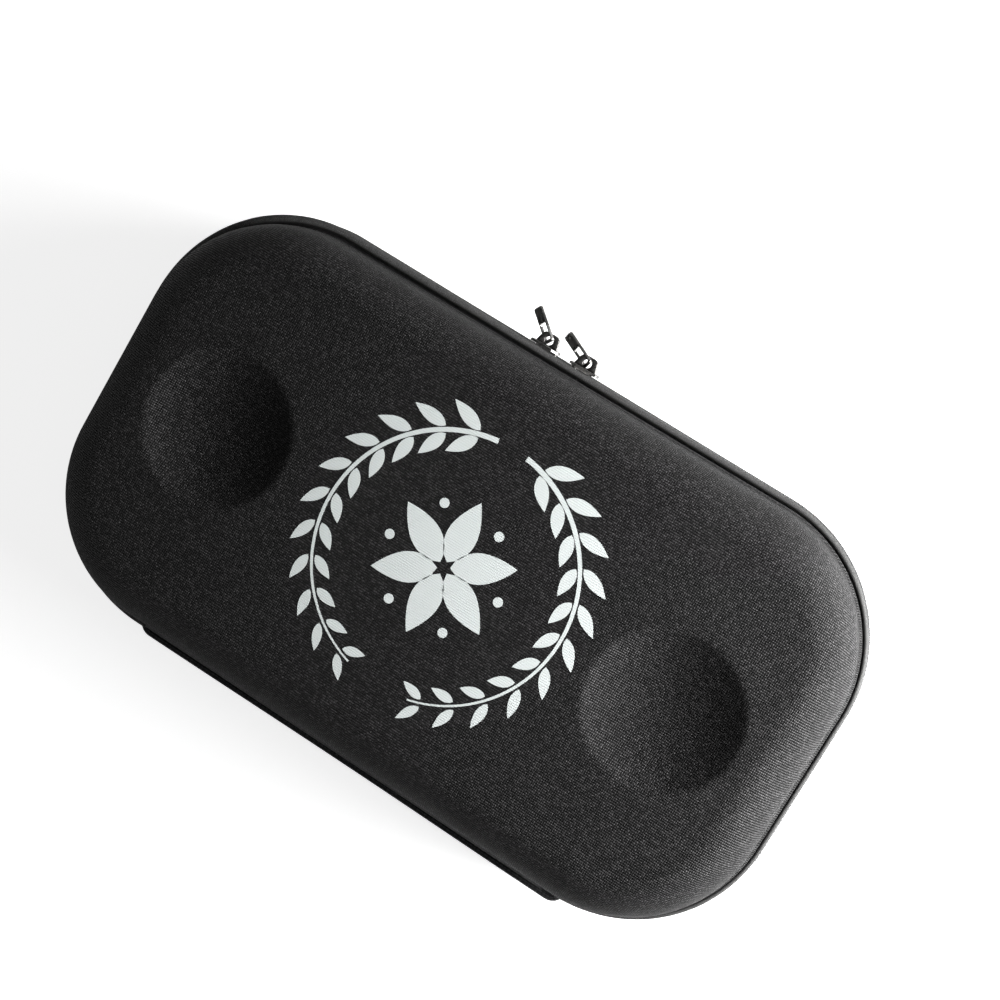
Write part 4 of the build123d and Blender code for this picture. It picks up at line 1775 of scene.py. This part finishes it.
# --- print on the lid
@dataclass
class LidPrint:
    """Screen print in the middle of the lid: a wreath of leaves round a six-petal rosette."""

    radius: float = 53 * MM
    level: float = 60 * MM
    lift: float = 0.07 * MM
    leaves: int = 11
    petals: int = 6
    shift: Pair = (-3.0 * MM, -1.5 * MM)
    sink: float = 0.02 * MM
    wreath: float = 0.86
    wreath_start: float = 7.0
    wreath_sweep: float = 158.0
    stem: float = 0.9 * MM
    stem_change: float = 0.6 * MM
    leaf: float = 13.5 * MM
    leaf_change: float = 4.5 * MM
    leaf_gap: float = 1.3 * MM
    leaf_swing: float = 0.62
    slimness: float = 0.36
    rosette: float = 0.47
    eye: float = 2.2 * MM
    dot: float = 1.7 * MM

    def _patch(self, piece: Piece, outline: Sequence[Pair]) -> None:
        """Adds one printed shape with a thin edge.

        Args:
            piece: The print.
            outline: The shape's outline.
        """
        outline = [(x + self.shift[0], y + self.shift[1]) for x, y in outline]
        flat = [Vector((x, y, 0.0)) for x, y in outline]
        low, high = (piece.ring([(x, y, self.level + up) for x, y in outline], outline)
                     for up in (-self.sink, self.lift))
        piece.band(low, high)
        for corners in tessellate_polygon([flat]):
            piece.face(*(high[corner] for corner in corners))
            piece.face(*(low[corner] for corner in corners[::-1]))

    def _leaf(self, at: Vector, way: float, length: float, width: float) -> Outline:
        """Outline of a leaf.

        Args:
            at: Where its stalk is.
            way: Its direction, in radians.
            length: Its length.
            width: Its width.

        Returns:
            The outline.
        """
        upper = [(length * share, width / 2 * math.sin(math.pi * share**0.8) ** 0.9)
                 for share in np.linspace(0.0, 1.0, 13)]
        outline = upper + [(x, -y) for x, y in upper[-2:0:-1]]
        turn = Matrix.Rotation(way, 2)
        return [tuple(at + turn @ Vector(point)) for point in outline]

    def _heading(self, side: int, share: float) -> float:
        """Direction from the wreath's middle to a share of one of its stems."""
        return math.radians(-90 + side * (self.wreath_start + self.wreath_sweep * share))

    def build(self) -> None:
        """Builds the print."""
        piece = Piece("lid_print")
        ring = self.radius * self.wreath
        for side in (1, -1):
            stems = ([], [])
            for share in np.linspace(0.0, 1.0, 49):
                thick = self.stem - self.stem_change * share
                for stem, sign in zip(stems, (1, -1)):
                    stem.append(tuple(polar(self._heading(side, share)) * (ring + sign * thick)))
            self._patch(piece, stems[0] + stems[1][::-1])
            for k in range(self.leaves):
                share = (k + 0.6) / self.leaves
                heading, size = self._heading(side, share), self.leaf - self.leaf_change * share
                for sign, slim in ((1, 1.0), (-1, 0.9)):
                    way = heading + side * math.pi / 2 - side * sign * self.leaf_swing
                    self._patch(piece, self._leaf(polar(heading) * (ring + sign * self.leaf_gap), way,
                                                  size * slim, size * self.slimness))
        rosette = self.radius * self.rosette
        for k in range(self.petals):
            way = 2 * math.pi * k / self.petals + math.pi / 6
            self._patch(piece, self._leaf(polar(way, self.eye), way, rosette - self.eye, rosette * 0.42))
            dot = polar(way + math.pi / 6) * rosette * 0.86
            self._patch(piece, [tuple(dot + Vector(p)) for p in arc((0, 0), self.dot, 0.0, 345.0, 24)])
        made = piece.make(PRINT_INK, "lid", sharp_angle=40.0)


# --- zip sliders
@dataclass
class ZipSlider:
    """Cast slider with its D-shaped crown, and the flat windowed pull that hangs in it."""

    side: Side
    middle: float
    angle: float
    length: float = 10.8 * MM
    nose_half: float = 4.1 * MM
    tail_half: float = 3.6 * MM
    tip_half: float = 2.3 * MM
    corner: float = 0.7 * MM
    taper: float = 2.6 * MM
    plate: float = 1.0 * MM
    stand_out: float = 5.2 * MM
    relief: float = 0.04 * MM
    channel: float = 2.6 * MM
    lip: float = 0.6 * MM
    face_bevel: float = 0.38 * MM
    bevel: float = 0.1 * MM
    neck: Pair = (1.1 * MM, 2.5 * MM)
    neck_radius: float = 0.5 * MM
    crown_length: float = 8.4 * MM
    crown_top: float = 6.0 * MM
    crown_height: float = 4.3 * MM
    crown_bend: float = 2.0 * MM
    crown_eye: float = 3.1 * MM
    crown_thickness: float = 1.6 * MM
    crown_bevel: float = 0.28 * MM
    pivot_height: float = 1.75 * MM
    pull_length: float = 12.2 * MM
    pull_width: float = 5.0 * MM
    pull_thickness: float = 1.1 * MM
    pull_bar: float = 1.2 * MM
    window_width: float = 3.6 * MM
    window_length: float = 5.8 * MM
    pull_corner: float = 0.9 * MM
    window_corner: float = 0.5 * MM
    pull_bevel: float = 0.36 * MM
    window_bevel: float = 0.26 * MM
    roll: float = 42.0

    def build(self) -> None:
        """Builds the slider and its pull."""
        self._body()
        self._pull()

    def _to_case(self, along: float, across: float, out: float) -> Place:
        """Place on the case of a point of the slider.

        Args:
            along: Towards the nose.
            across: Up from the closing plane.
            out: Outwards from the wall.

        Returns:
            The place.
        """
        return self.middle - self.side.value * along, -(CASE.width / 2 + out), CASE.closing + across

    def _plate_outline(self, shrink: float) -> Outline:
        """Outline of a plate, with its corners rounded.

        Args:
            shrink: How far inside the full outline it lies.

        Returns:
            The outline's points.
        """
        half = self.length / 2
        corners = [(-half, -self.tail_half), (half - self.taper, -self.nose_half), (half, -self.tip_half),
                   (half, self.tip_half), (half - self.taper, self.nose_half), (-half, self.tail_half)]
        outline = []
        for number, here in enumerate(corners):
            before, after = Vector(corners[number - 1]), Vector(corners[(number + 1) % 6])
            at = Vector(here)
            way_in, way_out = (before - at).normalized(), (after - at).normalized()
            opening = way_in.angle(way_out)
            inwards = (way_in + way_out).normalized()
            centre = at + inwards * self.corner / math.sin(opening / 2)
            start = math.degrees(math.atan2(*(-(centre - at - way_in * way_in.dot(centre - at))).yx))
            turn = 180.0 - math.degrees(opening)
            outline += arc(centre, self.corner - shrink, start, turn, 7)
        return outline

    def _slab(self, piece: Piece, low: float, high: float, outer_bevel: float, inner_bevel: float) -> None:
        """Adds a plate with rounded edges.

        Args:
            piece: The piece that it is added to.
            low: Where its inner face lies, outwards from the wall.
            high: Where its outer face lies.
            outer_bevel: Rounding of the outer face's edge.
            inner_bevel: Rounding of the inner face's edge.
        """
        levels = [(low, inner_bevel), (low + inner_bevel, 0.0)]
        levels += [(high - outer_bevel * (1 - math.sin(a)), outer_bevel * (1 - math.cos(a)))
                   for a in (0.0, 0.4, 0.8, 1.2, math.pi / 2)]
        rings = []
        for out, shrink in levels:
            loop = self._plate_outline(shrink)
            rings.append(piece.ring([self._to_case(u, v, out) for u, v in loop], loop))
        piece.loft(rings)

    def _body(self) -> None:
        """Builds the two plates, the lips, the neck and the crown."""
        piece = Piece(f"slider_casting_{self.side}")
        front_low = self.stand_out - self.plate
        back_high = front_low - self.channel
        self._slab(piece, front_low, self.stand_out - self.relief, self.face_bevel, self.bevel)
        self._slab(piece, back_high - self.plate, back_high, self.bevel, self.bevel)
        half = self.length / 2
        root, tip = front_low + self.bevel, front_low - self.lip
        for side in (-1, 1):
            rows = []
            for share in np.linspace(0.0, 1.0, 12):
                u = -half + self.taper + (2 * half - 2 * self.taper) * float(share)
                widening = (self.nose_half - self.tail_half) / (2 * half - self.taper)
                edge = self.tail_half + widening * (u + half)
                box = [(edge - 0.08 * MM, root), (edge - 0.08 * MM, tip + 0.2 * MM), (edge - 0.28 * MM, tip),
                       (edge - self.lip + 0.1 * MM, tip), (edge - self.lip, tip + 0.1 * MM),
                       (edge - self.lip, root)]
                rows.append(piece.ring([self._to_case(u, side * v, w) for v, w in box],
                                       [(u, v + w) for v, w in box]))
            piece.loft(rows)
        neck = []
        for out in (back_high - self.bevel, root):
            loop = arc((half - self.neck[0], 0.0), self.neck_radius, -90.0, 180.0, 8)
            loop += arc((half - self.neck[1], 0.0), self.neck_radius, 90.0, 180.0, 8)
            neck.append(piece.ring([self._to_case(u, v, out) for u, v in loop], loop))
        piece.loft(neck)
        self._crown(piece)
        made = piece.make(BLACK_NICKEL, f"slider_{self.side}", sharp_angle=35.0)
        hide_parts(f"slider_body_{self.side}")

    def _crown_outline(self, angles: Sequence[float]) -> list[Vector]:
        """Outline of the crown as seen from the middle of its eye.

        Args:
            angles: Directions of the points that are wanted.

        Returns:
            The points, along the slider and out from the front plate.
        """
        foot, top, high = self.crown_length / 2, self.crown_top / 2, self.crown_height
        lean = math.atan2(high, foot - top)
        inset = self.crown_bend * math.tan(lean / 2)
        side = arc((top - inset, high - self.crown_bend), self.crown_bend, 90.0 - math.degrees(lean),
                   math.degrees(lean), 24)
        flank = [(foot - (foot - side[0][0]) * k / 24, side[0][1] * k / 24) for k in range(24)]
        bottom = [(-foot + 2 * foot * k / 48, -self.bevel) for k in range(48)]
        right = flank + side
        outline = np.array(bottom + right + [(-u, w) for u, w in right[::-1]])
        around_eye = outline - np.array([0.0, self.pivot_height])
        found = np.unwrap(np.arctan2(around_eye[:, 1], around_eye[:, 0]))
        order = np.argsort(found)
        return [Vector([np.interp(a, found[order], outline[order, k], period=2 * math.pi) for k in (0, 1)])
                for a in angles]

    def _crown(self, piece: Piece) -> None:
        """Adds the D-shaped crown with the eye that the pull turns in.

        Args:
            piece: The casting.
        """
        count = 96
        angles = turns(count)
        edge = self._crown_outline(angles)
        eye = Vector((0.0, self.pivot_height))
        normals = []
        for number in range(count):
            way = edge[(number + 1) % count] - edge[number - 1]
            normals.append(Vector((way.y, -way.x)).normalized())
        outer, inner = [], []
        for level, shrink in rounded_levels(self.crown_thickness / 2, self.crown_bevel):
            rim = [here - normal * shrink for here, normal in zip(edge, normals)]
            hole = [eye + polar(angle, self.crown_eye / 2 + shrink) for angle in angles]
            for rings, loop in ((outer, rim), (inner, hole)):
                places = [self._to_case(p.x, level, self.stand_out + p.y) for p in loop]
                rings.append(piece.ring(places, loop))
        piece.plate(outer, inner)

    def _pull(self) -> None:
        """Builds the flat pull with its window."""
        turn, roll = math.radians(self.angle), math.radians(self.roll)
        along = Vector((math.cos(turn), -math.sin(turn), 0.0))
        outwards = along.cross(Vector((0.0, 0.0, 1.0)))
        across = Vector((0.0, 0.0, math.cos(roll))) + outwards * math.sin(roll)
        face = along.cross(across)
        pivot = Vector((self.middle, -(CASE.width / 2 + self.stand_out + self.pivot_height), CASE.closing))
        piece = Piece(f"slider_tab_{self.side}")
        thick, bar = self.pull_thickness / 2, self.pull_bar / 2
        middle, half_length = ((self.pull_length - bar) / 2, 0.0), (self.pull_length + bar) / 2
        window, half_window = (bar + self.window_length / 2, 0.0), self.window_length / 2
        outer, inner = [], []
        for (level, shrink), (level_in, grow) in zip(rounded_levels(thick, self.pull_bevel),
                                                     rounded_levels(thick, self.window_bevel)):
            rim = rounded_box(middle, half_length - shrink, self.pull_width / 2 - shrink,
                              self.pull_corner - shrink, 8)
            hole = rounded_box(window, half_window + grow, self.window_width / 2 + grow,
                               self.window_corner + grow, 8)
            for rings, loop, at in ((outer, rim, level), (inner, hole, level_in)):
                rings.append(piece.ring([pivot + along * u + across * v + face * at for u, v in loop], loop))
        piece.plate(outer, inner)
        made = piece.make(PULL_NICKEL, f"pull_{self.side}", sharp_angle=35.0)
        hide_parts(f"slider_pull_{self.side}")


# --- studio
@dataclass
class Studio:
    """Pale floor, soft light and the camera."""

    lens: float = 64.8
    sensor: float = 36.0
    place: Place = (-0.109466, -0.108169, 0.633446)
    turn: tuple[float, float, float] = (-1.3711, 12.5042, -148.9639)
    floor_size: float = 6.0
    floor_drop: float = 0.2 * MM
    floor: Colour = (0.80, 0.80, 0.80)
    # The floor's glow is this near the case and 1 far off: painted dimmer round the case as a painted shade.
    # Glossy rays see no glow within the shaded reach, a painted shade in reflections.
    floor_glow: float = 0.77
    glow_shade_reach: Pair = (250 * MM, 800 * MM)
    shaded_reach: Pair = (150 * MM, 600 * MM)
    soft_light: float = 0.10

    def build(self) -> None:
        """Builds the camera, the floor and the lights."""
        self._camera()
        self._floor()
        self._world()
        self._lamp("key", (-0.400, -0.165, 0.175), (0.34, 0.26), 8.6)
        self._lamp("overhead", (-0.15, -0.15, 1.10), (0.60, 0.60), 0.4)

    def _camera(self) -> None:
        """Sets the camera at the angle that the case is shown from."""
        data = bpy.data.cameras.new("camera")
        data.lens, data.sensor_width, data.sensor_fit = self.lens, self.sensor, "HORIZONTAL"
        data.clip_start = 0.01
        made = bpy.data.objects.new("camera", data)
        made.location = self.place
        made.rotation_euler = tuple(math.radians(part) for part in self.turn)
        bpy.context.scene.collection.objects.link(made)
        bpy.context.scene.camera = made

    def _floor(self) -> None:
        """Lays the floor, which the camera and polished metal see as near white outside the shadow, its glow
        painted dimmer towards the case as a painted shade.
        """
        size = self.floor_size / 2
        mesh = bpy.data.meshes.new("floor")
        mesh.from_pydata([(-size, -size, 0), (size, -size, 0), (size, size, 0), (-size, size, 0)], [],
                         [(0, 1, 2, 3)])
        made = bpy.data.objects.new("floor", mesh)
        made.location.z = -self.floor_drop
        bpy.context.scene.collection.objects.link(made)
        surface = bpy.data.materials.new("floor")
        surface.use_nodes = True
        bench = NodeBench(surface.node_tree)
        place = bench.node("ShaderNodeTexCoord").outputs["Object"]
        darker = tuple(part * 0.96 for part in self.floor)
        colour = bench.blend(bench.noise(place, 3.0, 3.0), self.floor, darker)
        diffuse = bench.node("ShaderNodeBsdfDiffuse", {"Color": colour})
        beyond = bench.vector("SUBTRACT", bench.vector("ABSOLUTE", place).outputs[0], (*CASE.core, 0.0))
        past = bench.vector("MAXIMUM", beyond.outputs[0])
        far = bench.vector("LENGTH", past.outputs[0]).outputs["Value"]
        # Painted shade: the glow is dimmer near the case.
        glow = bench.node("ShaderNodeEmission",
                          {"Strength": bench.spread(far, *self.glow_shade_reach, self.floor_glow, 1.0)})
        lit = bench.node("ShaderNodeAddShader", {0: diffuse.outputs[0], 1: glow.outputs[0]})
        # Painted shade in reflections: glossy rays see the glow only far from the case.
        seen = bench.seen(bench.spread(far, *self.shaded_reach))
        bench.node("ShaderNodeOutputMaterial", {"Surface": bench.mix_shaders(seen, diffuse, lit)})
        mesh.materials.append(surface)

    def _world(self) -> None:
        """Soft grey light from all round, with a backdrop that the camera and metal see as white."""
        world = bpy.data.worlds.new("studio")
        world.use_nodes = True
        bench = NodeBench(world.node_tree)
        up = bench.parts(bench.node("ShaderNodeTexCoord").outputs["Generated"])[2]
        soft, white = (bench.node("ShaderNodeBackground", {"Color": (1.0, 1.0, 1.0, 1.0), "Strength": power})
                       for power in (self.soft_light, 1.0))
        seen = bench.seen(bench.spread(up, 0.02, 0.12, 1.0, 0.0))
        bench.node("ShaderNodeOutputWorld", {"Surface": bench.mix_shaders(seen, soft, white)})
        bpy.context.scene.world = world

    def _lamp(self, name: str, place: Place, size: Pair, power: float) -> None:
        """Hangs a soft box that faces the case.

        Args:
            name: Its name.
            place: Where it hangs.
            size: Its width and height.
            power: Its power.
        """
        data = bpy.data.lights.new(name, "AREA")
        data.shape, (data.size, data.size_y), data.energy = "RECTANGLE", size, power
        made = bpy.data.objects.new(name, data)
        made.location = place
        made.rotation_euler = (Vector(place) - Vector((0.0, 0.0, 0.04))).to_track_quat("Z", "Y").to_euler()
        made.visible_camera = False
        bpy.context.scene.collection.objects.link(made)


class EndStops:
    """The two stops of the zip, kept as the CAD makes them and plated."""

    def build(self) -> None:
        """Gives the stops their finish."""
        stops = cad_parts["zip_end_stops"]
        if not stops.data.materials:
            stops.data.materials.append(None)
        for slot in stops.material_slots:
            slot.material = BLACK_NICKEL.material()
        LOG.info("%s: kept from the CAD", stops.name)


def main() -> None:
    """Dresses the case piece by piece, then sets up the studio."""
    logging.basicConfig(level=logging.INFO, format="%(name)s %(message)s")
    wall, gap, pad = 3.0 * MM, 0.05 * MM, 0.8 * MM
    MouldedSkin("lid_moulding", Half.LID, 0.0, wall, 16 * MM, SHELL_CLOTH, "lid_shell", "shell_fabric",
                Dish(), rim_bead=0.5 * MM, bead_change=0.4 * MM, step=1.3 * MM).build()
    MouldedSkin("base_moulding", Half.BASE, 0.0, wall, 12 * MM, SHELL_CLOTH, "base_shell", "shell_fabric",
                rim_bead=0.3 * MM).build()
    MouldedSkin("lid_lining_skin", Half.LID, wall + gap, wall + pad, 16 * MM, LINING_CLOTH, "lid_lining",
                "lining", Dish()).build()
    MouldedSkin("base_lining_skin", Half.BASE, wall + gap, wall + pad, 12 * MM, LINING_CLOTH, "base_lining",
                "lining").build()
    for half in Half:
        ZipTape(half).build()
        ZipCoil(half).build()
        RimBinding(half).build()
    FabricHinge().build()
    CarryHandle().build()
    NetPocket().build()
    TubingStrap().build()
    LidPrint().build()
    ZipSlider(Side.RIGHT, 10.8 * MM, 40.0).build()
    ZipSlider(Side.LEFT, -4.6 * MM, 25.0).build()
    EndStops().build()
    Studio().build()
    bpy.context.scene.view_settings.view_transform = "Standard"


if __name__ == "__main__":
    main()
